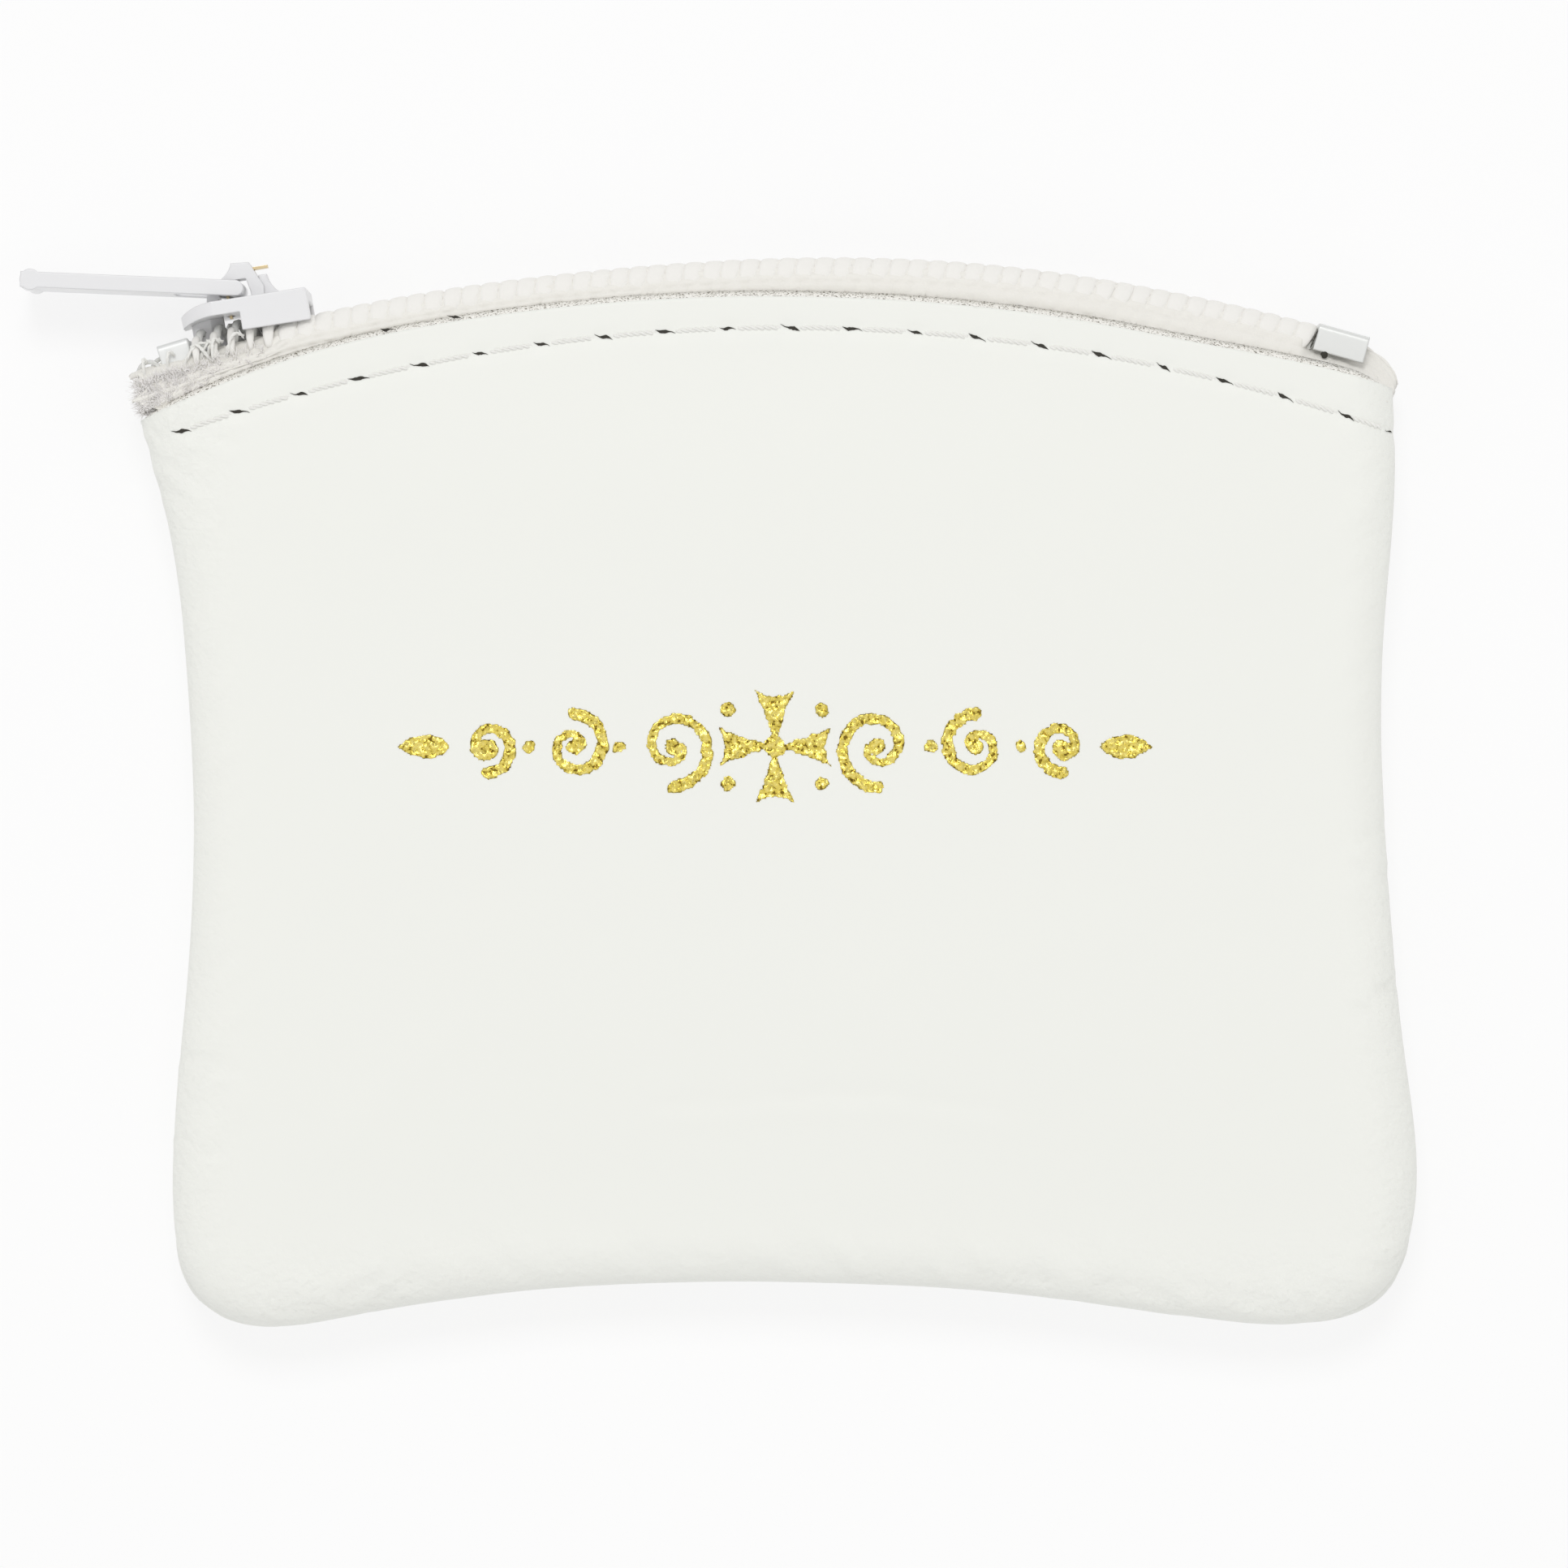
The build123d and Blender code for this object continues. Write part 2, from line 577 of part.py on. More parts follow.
# The crown arches over the pull's end, its two feet riveted into the plate.
with BuildPart() as slider_crown:
    with BuildSketch(SLIDER_SIDE):
        with BuildLine():
            Line((-2.6, -CROWN_FOOT), (-2.6, 0))
            Spline((-2.6, 0), (-2.25, 1.0), (-1.2, 1.75), (-0.5, 2.67))
            Polyline((-0.5, 2.67), (0.8, 2.55), (1.12, 1.8), (1.6, 0.75), (1.45, -CROWN_FOOT),
                     (0.65, -CROWN_FOOT), (0.6, 0.5), (0.4, CROWN_INSIDE), (-0.75, CROWN_INSIDE))
            Spline((-0.75, CROWN_INSIDE), (-1.45, 0.85), (-1.75, 0))
            Polyline((-1.75, 0), (-1.75, -CROWN_FOOT), (-2.6, -CROWN_FOOT))
        make_face()
    extrude(amount=CROWN_WIDTH / 2, both=True)
    # the spring lies in a slot, and the lug in a notch
    with BuildSketch(SLIDER_SIDE):
        with BuildLine():
            Polyline((SPRING_TIP, SPRING_AT), *PAWL_BENDS, (PAWL_AT, 0))
        trace(line_width=2 * SPRING)
    extrude(amount=(SPRING_WIDTH + SPRING / 2) / 2, both=True, mode=Mode.SUBTRACT)
    with BuildSketch(SLIDER_SIDE):
        with Locations((LUG_FRONT - CROWN_CLEAR, 0)):
            Rectangle(LUG_BACK - LUG_FRONT, LUG_TOP + CROWN_CLEAR, align=(Align.MIN, Align.MIN))
    extrude(amount=LUG_WIDTH / 2 + CROWN_CLEAR, both=True, mode=Mode.SUBTRACT)

write(slider_crown.part, "slider_crown")

with BuildPart() as slider_lock_spring:
    with BuildSketch(SLIDER_SIDE):
        with BuildLine():
            Polyline((SPRING_TIP, SPRING_AT), *PAWL_BENDS, (PAWL_AT, -PAWL_REACH))
        trace(line_width=SPRING)
    extrude(amount=SPRING_WIDTH / 2, both=True)

write(slider_lock_spring.part, "slider_lock_spring")


# ---- pull ---------------------------------------------------------------------------------
# A flat bar whose end turns in the crown. Local directions: x along the pull, z across it.

pivot = Vector(*seat, MIDDLE) + Vector(*along_slider) * PIVOT[0] + Vector(*out_of_chain) * PIVOT[1]
rise = math.radians(PULL_RISE)
PULL_SIDE = Plane(origin=pivot, x_dir=(-math.cos(rise), math.sin(rise), 0), z_dir=(0, 0, 1))
PULL_FLAT = Plane(
    origin=pivot, x_dir=PULL_SIDE.x_dir, z_dir=(math.sin(rise), math.cos(rise), 0)
)

with BuildPart() as pull_tab:
    with BuildSketch(PULL_SIDE):
        Circle(PULL_END)
        with Locations((PULL_LENGTH / 2, 0)):
            Rectangle(PULL_LENGTH, PULL_THICK)
        with Locations((PULL_LENGTH - PULL_TIP_AT, 0)):
            Circle(PULL_TIP)
    extrude(amount=PULL_WIDTH / 2, both=True)
    with BuildSketch(PULL_FLAT.offset(-PULL_TIP)):
        with Locations((PULL_WINDOW_AT + PULL_WINDOW / 2, 0)):
            RectangleRounded(PULL_WINDOW, PULL_WINDOW_WIDTH, STOP_ROUND)
    extrude(amount=2 * PULL_TIP, mode=Mode.SUBTRACT)

write(pull_tab.part, "pull_tab")
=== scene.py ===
import math

import bpy
import numpy as np
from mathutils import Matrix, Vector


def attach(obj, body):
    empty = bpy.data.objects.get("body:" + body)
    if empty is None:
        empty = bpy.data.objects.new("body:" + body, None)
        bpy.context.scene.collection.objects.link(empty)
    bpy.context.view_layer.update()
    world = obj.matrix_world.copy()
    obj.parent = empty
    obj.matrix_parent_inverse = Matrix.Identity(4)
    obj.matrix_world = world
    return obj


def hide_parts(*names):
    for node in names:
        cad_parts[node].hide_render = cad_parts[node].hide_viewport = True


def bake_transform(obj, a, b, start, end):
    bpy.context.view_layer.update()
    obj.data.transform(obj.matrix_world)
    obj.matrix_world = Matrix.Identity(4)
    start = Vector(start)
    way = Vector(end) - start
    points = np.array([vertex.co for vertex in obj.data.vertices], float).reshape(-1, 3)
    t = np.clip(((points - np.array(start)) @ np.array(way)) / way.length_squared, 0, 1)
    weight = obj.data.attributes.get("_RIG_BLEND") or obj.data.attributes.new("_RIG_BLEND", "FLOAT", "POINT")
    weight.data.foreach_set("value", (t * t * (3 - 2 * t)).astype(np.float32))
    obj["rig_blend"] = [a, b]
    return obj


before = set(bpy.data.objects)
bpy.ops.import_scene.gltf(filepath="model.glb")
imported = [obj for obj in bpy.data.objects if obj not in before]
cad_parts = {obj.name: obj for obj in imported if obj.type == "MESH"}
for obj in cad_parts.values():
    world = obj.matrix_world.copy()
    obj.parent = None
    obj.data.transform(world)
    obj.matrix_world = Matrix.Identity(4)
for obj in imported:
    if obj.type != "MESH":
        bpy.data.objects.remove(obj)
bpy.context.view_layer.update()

# The finish of a small white leather zip pouch. Everything is worked out in millimetres and
# scaled when a mesh is made. Heights called "rise" are measured out of the middle plane, in which
# the two panels and the two sides of the zip meet.

MM = 0.001

# ---- the pouch's dimensions ---------------------------------------------------------------
# Most are the CAD model's. These are the finish's own: the mouth's uneven edge, the outline's left
# end, the back's wider corners, the drift of the stitches, the chain's radius, the tape's
# thickness, the flare of the cross and the eyes of the scrolls.

THICKNESS = 7.6
MIDDLE = THICKNESS / 2
LEATHER = 1.1
SEAM_AT = 0.05             # rise of the leather where the two panels are sewn together
ALLOWANCE = 5.0
SEAM_INSET = 2.6
SEAM_PITCH = 4.2
SEAM_START = 6.5
SEAM_THREAD = 0.18

ARC_X = -1.5               # the zip's arc; angles are clockwise from +Y
ARC_Y = -110.7
ALLOWANCE_STOP = 145.4
TAPE_ENDS = (-17.74, 17.25)
TAPE_SEWN = (-16.55, 16.38)
MOUTH_RADIUS = 147.2
CHAIN_RADIUS = 148.85
COIL_PITCH = 1.33
COIL_ENDS = (-15.95, 16.2)
COIL_WIRE = 0.25           # radius
PARTED_FROM = -18.5
PARTED_TO = -14.45

TOPSTITCH_X = -0.5
TOPSTITCH_Y = -94.8
TOPSTITCH_RADIUS = 129.1
TOPSTITCH_FIRST = -19.4
TOPSTITCH_STEP = 1.94
TOPSTITCH_DRIFT = 0.0012   # the stitches grow a little longer to the right
TOPSTITCHES = 20
STITCH_NUMBERS = np.arange(TOPSTITCHES + 1)
HOLES = TOPSTITCH_FIRST + TOPSTITCH_STEP * STITCH_NUMBERS + TOPSTITCH_DRIFT * STITCH_NUMBERS ** 2
HOLES[-1] = 19.3           # at the seam; the drift would carry it off the leather
BOBBIN_RISE = 2.05

FOIL_X = -1.3
FOIL_Y = 4.6
CROSS_REACH = 3.95
CROSS_FLARE = (0.916, 0.434)           # width of an arm: share of its length, and of its square
CROSS_END = 0.9
CROSS_HEART = 0.75
SCROLLS = ((7.2, 3.3), (14.2, 2.8), (20.3, 2.3))
SCROLL_TURNS = 1.25
SCROLL_STROKE = 0.9
SCROLL_CLOSES = 0.74
SCROLL_EYE = 0.56
BEADS = ((3.3, 2.6, 0.5), (11.1, 0.0, 0.45), (17.4, 0.0, 0.4))
LEAF = (23.0, 3.75, 0.85, 0.42)        # start, length, half width, where it is widest

# The outline from the left end of the mouth round the bottom to its right end.
OUTLINE = [
    (-46.8, 29.2), (-45.6, 24.8), (-44.5, 20.5), (-43.2, 10.0), (-42.7, 0.0), (-43.2, -13.0),
    (-44.1, -28.0), (-42.4, -34.2), (-38.0, -36.5), (-32.5, -36.1), (-21.0, -34.3),
    (-1.0, -33.5), (19.0, -34.7), (30.0, -36.2), (36.5, -36.4), (41.9, -34.1), (44.1, -29.0),
    (43.5, -17.5), (42.2, -3.0), (42.0, 12.0), (42.8, 24.0), (42.6, 30.2),
]
# The leather's cut edge along the mouth; its left end hangs lower than the zip's own arc.
MOUTH_EDGE = [
    (-50.0, 26.2), (-46.1, 27.9), (-39.0, 30.9), (-33.2, 32.8), (-21.7, 35.1), (-7.3, 36.42),
    (1.9, 36.48), (18.5, 35.1), (30.0, 33.0), (37.0, 31.6), (41.5, 30.4), (46.0, 29.0),
]
BOTTOM_CORNERS = ((-41.5, -34.5), (41.5, -34.5))
BACK_CORNER_OUT = 0.8      # the back panel stands out by this much at both bottom corners
BACK_CORNER_REACH = 7.0


# ---- small geometry helpers ---------------------------------------------------------------

def ease(share):
    """0 to 1 with a level start and end."""
    share = np.clip(share, 0, 1)
    return share * share * (3 - 2 * share)


def noise(x, y, size, seed):
    """Smooth noise from -1 to 1 whose lumps have about this size."""
    cells = 128
    lattice = np.random.default_rng(seed).uniform(-1, 1, (cells, cells))
    u, v = np.asarray(x) / size, np.asarray(y) / size
    i, j = np.floor(u).astype(int), np.floor(v).astype(int)
    a, b = ease(u - i), ease(v - j)
    i, j = i % cells, j % cells
    k, m = (i + 1) % cells, (j + 1) % cells
    low = lattice[i, j] * (1 - a) + lattice[k, j] * a
    high = lattice[i, m] * (1 - a) + lattice[k, m] * a
    return low * (1 - b) + high * b


def lengths_along(line):
    """The distance of each point from the first, along the line."""
    return np.concatenate(([0.0], np.cumsum(np.linalg.norm(np.diff(line, axis=0), axis=1))))


def at_shares(line, shares):
    """Points at these shares of a line's length."""
    along = lengths_along(line)
    wanted = np.asarray(shares) * along[-1]
    return np.column_stack([np.interp(wanted, along, line[:, k]) for k in range(line.shape[1])])


def cubic_through(points, count):
    """A natural cubic curve through the points, sampled at even steps."""
    points = np.array(points, float)
    chord = lengths_along(points)
    step = np.diff(chord)
    last = len(points) - 1
    system = np.eye(last + 1)
    right = np.zeros_like(points)
    for k in range(1, last):
        system[k, k - 1:k + 2] = step[k - 1], 2 * (step[k - 1] + step[k]), step[k]
        right[k] = 6 * ((points[k + 1] - points[k]) / step[k] - (points[k] - points[k - 1]) / step[k - 1])
    bend = np.linalg.solve(system, right)
    along = np.linspace(0, chord[-1], count)
    k = np.clip(np.searchsorted(chord, along, side="right") - 1, 0, last - 1)
    span = step[k][:, None]
    a = (chord[k + 1] - along)[:, None] / span
    b = 1 - a
    curved = (a ** 3 - a) * bend[k] + (b ** 3 - b) * bend[k + 1]
    return a * points[k] + b * points[k + 1] + curved * span * span / 6


def unit(vectors):
    """Each row at length one."""
    return vectors / np.maximum(np.linalg.norm(vectors, axis=-1, keepdims=True), 1e-12)


def on_zip(radius, degrees, rise):
    """Points of the zip's arc."""
    radius, turn, rise = np.broadcast_arrays(radius, np.radians(degrees), rise)
    return np.stack([ARC_X + radius * np.sin(turn), ARC_Y + radius * np.cos(turn), rise], -1)


def on_topstitch(degrees, out=0.0):
    """Points of the topstitch arc, moved out across it."""
    turn = np.radians(degrees)
    radius = TOPSTITCH_RADIUS + out
    return np.stack([TOPSTITCH_X + radius * np.sin(turn), TOPSTITCH_Y + radius * np.cos(turn)], -1)


def grid_faces(rows, columns):
    """Quads over a grid of points stored row by row."""
    index = np.arange(rows * columns).reshape(rows, columns)
    return np.stack([index[:-1, :-1], index[:-1, 1:], index[1:, 1:], index[1:, :-1]], -1).reshape(-1, 4)


def normals_of(points, faces):
    """A normal at each point, from the quads round it."""
    corner = points[faces]
    across = np.cross(corner[:, 2] - corner[:, 0], corner[:, 3] - corner[:, 1])
    total = np.zeros_like(points)
    for k in range(4):
        np.add.at(total, faces[:, k], across)
    return unit(total)


def edges_used_once(faces):
    """The open edges of a sheet of quads, in the direction of their face."""
    pairs = np.concatenate([faces[:, [k, (k + 1) % 4]] for k in range(4)])
    key = np.sort(pairs, axis=1)
    _, where, count = np.unique(key, axis=0, return_index=True, return_counts=True)
    return pairs[where[count == 1]]


def shell(points, faces, thickness, lip=None):
    """A sheet given thickness behind its face. Returns points, faces and each face's kind:
    0 face, 1 back, 2 edge. The lip moves the back's points."""
    back = points - normals_of(points, faces) * thickness
    if lip is not None:
        back = back + lip
    count = len(points)
    rim = edges_used_once(faces)
    edge = np.column_stack([rim[:, 1], rim[:, 0], rim[:, 0] + count, rim[:, 1] + count])
    every = np.concatenate([faces, faces[:, ::-1] + count, edge])
    kinds = np.repeat([0, 1, 2], [len(faces), len(faces), len(edge)])
    return np.concatenate([points, back]), every, kinds


def frames_along(path):
    """Two directions across a path at each point, carried along it without twisting."""
    tangent = unit(np.gradient(path, axis=0))
    first = np.cross(tangent[0], (0.0, 0.0, 1.0))
    if np.linalg.norm(first) < 0.1:
        first = np.cross(tangent[0], (0.0, 1.0, 0.0))
    side = np.zeros_like(path)
    side[0] = unit(first)
    for k in range(1, len(path)):
        side[k] = unit(side[k - 1] - tangent[k] * (side[k - 1] @ tangent[k]))
    return side, np.cross(tangent, side)


def tube(path, radius, sides=6):
    """A round tube along a path, closed at both ends. The radius is one number or one per point."""
    path = np.asarray(path, float)
    radius = np.broadcast_to(radius, len(path))[:, None, None]
    side, other = frames_along(path)
    turn = np.linspace(0, 2 * math.pi, sides, endpoint=False)
    ring = side[:, None] * np.cos(turn)[:, None] + other[:, None] * np.sin(turn)[:, None]
    points = (path[:, None] + radius * ring).reshape(-1, 3)
    index = np.arange(len(points)).reshape(len(path), sides)
    after = np.roll(index, -1, axis=1)
    quads = np.stack([index[:-1], after[:-1], after[1:], index[1:]], -1).reshape(-1, 4)
    return points, [*map(tuple, quads.tolist()), tuple(index[0, ::-1].tolist()), tuple(index[-1].tolist())]


def twist(path, strands, radius, offset, pitch, sides=6):
    """Tubes wound round a path, as the plies of a thread are."""
    path = np.asarray(path, float)
    side, other = frames_along(path)
    turn = 2 * math.pi * lengths_along(path) / pitch
    plies = []
    for ply in range(strands):
        angle = (turn + 2 * math.pi * ply / strands)[:, None]
        plies.append(tube(path + offset * (side * np.cos(angle) + other * np.sin(angle)), radius, sides))
    return plies


def joined(parts):
    """Several (points, faces) as one."""
    points, faces, base = [], [], 0
    for some_points, some_faces in parts:
        points.append(some_points)
        faces.extend(tuple(base + k for k in face) for face in some_faces)
        base += len(some_points)
    return np.concatenate(points), faces


# ---- materials ----------------------------------------------------------------------------

WRINKLED_SIDES = (37.5, 44.0)          # |x| at which the fine wrinkles start and are full
WRINKLED_BOTTOM = (-28.0, -35.5)       # and y


class Finish:
    """A Principled material with procedural detail placed in millimetres of the object."""

    def __init__(self, name, colour, roughness, specular=0.5, **sockets):
        self.material = bpy.data.materials.new(name)
        self.material.use_nodes = True
        self.tree = self.material.node_tree
        self.shader = self.tree.nodes["Principled BSDF"]
        plain = {"Base Color": (*colour, 1), "Roughness": roughness, "Specular IOR Level": specular}
        for socket, value in {**plain, **sockets}.items():
            self.shader.inputs[socket].default_value = value
        where = self.tree.nodes.new("ShaderNodeTexCoord")
        scale = self.tree.nodes.new("ShaderNodeVectorMath")
        scale.operation = "SCALE"
        scale.inputs["Scale"].default_value = 1 / MM
        self.tree.links.new(where.outputs["Object"], scale.inputs[0])
        self.place = scale.outputs[0]
        self.normal = None

    def node(self, kind, source, into, **values):
        """A new node with these values, fed by a source."""
        node = self.tree.nodes.new("ShaderNode" + kind)
        for socket, value in values.items():
            node.inputs[socket].default_value = value
        self.tree.links.new(source, node.inputs[into])
        return node

    def noise(self, size, detail):
        """Noise with lumps of about this size in millimetres."""
        return self.node("TexNoise", self.place, "Vector", Scale=1 / size, Detail=detail).outputs["Fac"]

    def cells(self, size):
        """Pebbles of about this size in millimetres: 0 in a pebble's middle."""
        node = self.node("TexVoronoi", self.place, "Vector", Scale=1 / size)
        node.feature = "SMOOTH_F1"
        return node.outputs["Distance"]

    def calculated(self, operation, *sources):
        """The result of an operation on one or two sources."""
        node = self.tree.nodes.new("ShaderNodeMath")
        node.operation = operation
        for index, source in enumerate(sources):
            self.tree.links.new(source, node.inputs[index])
        return node.outputs[0]

    def rising(self, source, low, high):
        """0 to 1 while the source goes from low to high."""
        node = self.node("MapRange", source, "Value", **{"From Min": low, "From Max": high})
        node.interpolation_type = "SMOOTHSTEP"
        return node.outputs["Result"]

    def edge_wrinkles(self):
        """Fine wrinkles that fade out a few millimetres inside the panel's sides and bottom."""
        split = self.node("SeparateXYZ", self.place, 0)
        sideways = self.rising(self.calculated("ABSOLUTE", split.outputs["X"]), *WRINKLED_SIDES)
        down = self.rising(split.outputs["Y"], *WRINKLED_BOTTOM)
        near = self.calculated("MAXIMUM", sideways, down)
        return self.calculated("MULTIPLY", near, self.noise(0.55, 4))

    def bump(self, height, depth, strength):
        """Relief from a texture; depth is in millimetres."""
        node = self.node("Bump", height, "Height", Strength=strength, Distance=depth * MM)
        if self.normal is not None:
            self.tree.links.new(self.normal, node.inputs["Normal"])
        self.use_normal(node)

    def rounded(self, radius):
        """Soft light on sharp edges, as paint and plating have."""
        node = self.tree.nodes.new("ShaderNodeBevel")
        node.samples = 8
        node.inputs["Radius"].default_value = radius * MM
        self.use_normal(node)

    def use_normal(self, node):
        self.normal = node.outputs["Normal"]
        self.tree.links.new(self.normal, self.shader.inputs["Normal"])

    def ramp(self, source, stops):
        """Colour from a texture through a ramp of (place, colour)."""
        node = self.node("ValToRGB", source, "Fac")
        for index, (place, colour) in enumerate(stops):
            if index < 2:
                stop = node.color_ramp.elements[index]
                stop.position = place
            else:
                stop = node.color_ramp.elements.new(place)
            stop.color = (*colour, 1)
        self.tree.links.new(node.outputs["Color"], self.shader.inputs["Base Color"])


def grain_leather():
    """Smooth white coated leather with a faint pebble."""
    finish = Finish("leather_grain", (0.86, 0.868, 0.825), 0.5, 0.35)
    finish.bump(finish.cells(0.7), 0.02, 0.35)
    finish.bump(finish.noise(2.4, 4), 0.05, 0.3)
    finish.bump(finish.edge_wrinkles(), 0.16, 1.0)
    return finish.material


def cut_leather():
    """The speckled cut edge: white fibres, with painted shade in the pores between them."""
    finish = Finish("leather_cut", (0.74, 0.73, 0.67), 0.95)
    speckle = finish.noise(0.15, 3)
    # The darkest stop is painted shade in the pores; the two lighter stops are the fibres' own colour.
    finish.ramp(speckle, [
        (0.38, (0.17, 0.155, 0.12)), (0.43, (0.76, 0.74, 0.68)), (0.50, (0.95, 0.935, 0.89)),
    ])
    finish.bump(speckle, 0.12, 0.8)
    return finish.material


def soft(name, colour, roughness, specular, sheen, *bumps):
    """Flesh side, cloth or thread. A bump has its noise's size and detail, depth and strength."""
    finish = Finish(name, colour, roughness, specular, **{"Sheen Weight": sheen})
    for size, detail, depth, strength in bumps:
        finish.bump(finish.noise(size, detail), depth, strength)
    return finish.material


def spun_thread(name, colour):
    """Soft spun thread."""
    return soft(name, colour, 0.8, 0.2, 0.15, (0.12, 2, 0.03, 0.5))


def clear_nylon():
    """Milky translucent nylon wire."""
    milky = {"Transmission Weight": 0.25, "IOR": 1.45}
    return Finish("zip_nylon", (0.88, 0.885, 0.86), 0.2, **milky).material


def gold_foil():
    """Hot-pressed gold foil, pebbled by the leather under it; the dark specks in its colour are painted
    reflections.
    """
    finish = Finish("gold_foil", (0.78, 0.62, 0.13), 0.24, Metallic=1.0)
    pebble = finish.cells(0.42)
    # The ramp's dark stop paints dark reflections into the colour; its other stops are the foil's own gold.
    finish.ramp(finish.noise(0.3, 3), [
        (0.36, (0.22, 0.14, 0.02)), (0.42, (0.76, 0.60, 0.10)), (0.62, (0.87, 0.73, 0.21)),
    ])
    finish.bump(pebble, 0.28, 1.0)
    finish.bump(finish.noise(0.2, 3), 0.08, 0.7)
    return finish.material


def plated(name, colour, roughness, metallic, edge, lumps=0.7):
    """Enamel or plating, with its edges softened and its face faintly uneven."""
    finish = Finish(name, colour, roughness, Metallic=metallic)
    finish.rounded(edge)
    finish.bump(finish.noise(lumps, 3), 0.02, 0.5)
    return finish.material


# ---- making pieces ------------------------------------------------------------------------

def placed(name, data):
    """A new object in the scene."""
    thing = bpy.data.objects.new(name, data)
    bpy.context.scene.collection.objects.link(thing)
    return thing


def make(name, points, faces, materials, kinds=None):
    """A smooth mesh from points in millimetres, whose heights are rises."""
    mesh = bpy.data.meshes.new(name)
    raised = np.array(points, float) + (0, 0, MIDDLE)
    mesh.from_pydata((raised * MM).tolist(), [], [tuple(face) for face in faces])
    for material in materials:
        mesh.materials.append(material)
    if kinds is not None:
        mesh.polygons.foreach_set("material_index", np.asarray(kinds, np.int32))
    mesh.polygons.foreach_set("use_smooth", np.ones(len(mesh.polygons), bool))
    mesh.update()
    piece = placed(name, mesh)
    return piece


def turned_over(points, faces):
    """The same form mirrored in the middle plane."""
    mirrored = np.array(points, float) * (1, 1, -1)
    return mirrored, [tuple(face)[::-1] for face in faces]


# Where the front is held to the back, and where it is free: left, right and bottom.
HELD = (((-42.0, 0.0), (-8.0, 0.0)), ((36.0, 0.0), (8.0, 0.0)), ((0.0, -35.5), (0.0, -21.0)))


def gape(piece):
    """A soft piece of the front bends between the two panels: it stays closed at both ends of the
    mouth and along the bottom, and opens in its middle. The bends' weights are multiplied."""
    product = 1.0
    for closed, free in HELD:
        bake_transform(piece, "back", "front", (closed[0] * MM, closed[1] * MM, 0),
                 (free[0] * MM, free[1] * MM, 0))
        weights = np.zeros(len(piece.data.vertices), np.float32)
        piece.data.attributes["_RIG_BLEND"].data.foreach_get("value", weights)
        product = product * weights
    piece.data.attributes["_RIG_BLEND"].data.foreach_set("value", product.astype(np.float32))
    return piece


def settle(piece, side):
    """Put a soft piece on its side's body."""
    return gape(piece) if side == "front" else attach(piece, "back")


def add(side, name, parts, material, node=None, cap=None):
    """One side's piece, in place of a CAD node if one is named. The back's is turned over, and a
    cap keeps it above the floor."""
    points, faces = joined(parts)
    if side == "back":
        if cap is not None:
            points[:, 2] = np.minimum(points[:, 2], cap)
        points, faces = turned_over(points, faces)
    piece = make(f"{side}_{name}", points, faces, [material])
    if node:
        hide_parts(f"{side}_{node}")
    settle(piece, side)


def add_both(node, parts, material):
    """The same piece on the front and, turned over, on the back."""
    for side in ("front", "back"):
        add(side, f"{node}_soft", parts, material, node)


# ---- leather panels -----------------------------------------------------------------------

SIDE_ROWS = np.concatenate([np.linspace(0, 0.13, 31), 0.13 + 0.87 * np.linspace(0, 1, 119)[1:]])
BOTTOM_COLUMNS = 220
RIM_UPPER = 3.3            # the leather rolls over its edge within this inset
RIM_LOWER = 0.9
RIM_WIDEST = 1.6           # rise at which the pouch is widest
FLAT_INSETS = (3.75, 4.2, 4.65)
EDGE_BEVEL = 0.52          # the flesh side reaches past the grain along the mouth

PLUMP = 0.28               # the pouch's faces are this much fuller in the middle
GROOVE = 0.06              # pulled in by the topstitching
GROOVE_HALF = 0.5
PUCKER = 0.1               # deeper at each needle hole
PUCKER_REACH = 0.55
LUMPS = ((13, 3, 0.06), (4.5, 4, 0.025))         # size, seed and height
RIPPLE_SIDE = 0.11
RIPPLE_BOTTOM = 0.17
CREASE_DEEPER = 1.1
RIPPLE_PITCH = 1.2
RIPPLE_REACH = 3.4

# Creases as x, y of both ends, depth and half width.
CREASES = [
    (-46.0, 27.4, -42.2, 24.5, 0.10, 0.30), (-45.6, 25.6, -41.5, 22.6, 0.10, 0.35),
    (-44.9, 22.6, -41.7, 20.6, 0.07, 0.30), (-44.6, 26.9, -39.5, 26.2, 0.06, 0.40),
    (-43.3, -17.3, -39.2, -18.5, 0.14, 0.35), (-42.9, -19.9, -40.8, -18.3, 0.10, 0.30),
    (-43.6, -22.6, -41.5, -24.2, 0.11, 0.30), (-43.1, -24.6, -40.4, -24.1, 0.07, 0.35),
    (42.2, -1.2, 39.8, -2.2, 0.09, 0.30), (42.3, -4.6, 39.6, -4.2, 0.09, 0.35),
    (42.9, -12.1, 39.6, -14.6, 0.12, 0.35), (42.6, -10.6, 40.4, -12.9, 0.08, 0.30),
    (-28.8, -33.2, -32.2, -34.6, 0.12, 0.40), (-27.0, -33.4, -30.6, -35.4, 0.09, 0.35),
    (14.0, -32.6, 19.5, -33.4, 0.09, 0.45), (21.5, -33.6, 27.5, -34.7, 0.12, 0.45),
    (27.0, -33.2, 33.1, -34.9, 0.09, 0.40),
    (-10.0, -20.9, -0.6, -20.3, 0.05, 0.55), (-0.6, -20.3, 7.2, -19.9, 0.06, 0.55),
    (7.2, -19.9, 15.6, -21.5, 0.05, 0.55),
]

edge_line = cubic_through(MOUTH_EDGE, 600)
outline_line = cubic_through(OUTLINE, 600)
outline_along = lengths_along(outline_line)


def mouth_edge(x):
    """y of the leather's cut edge along the mouth."""
    return np.interp(x, edge_line[:, 0], edge_line[:, 1])


def allowance_edge(x):
    """y at which the turned-in allowance stops short of the zip."""
    return ARC_Y + np.sqrt(ALLOWANCE_STOP ** 2 - (x - ARC_X) ** 2)


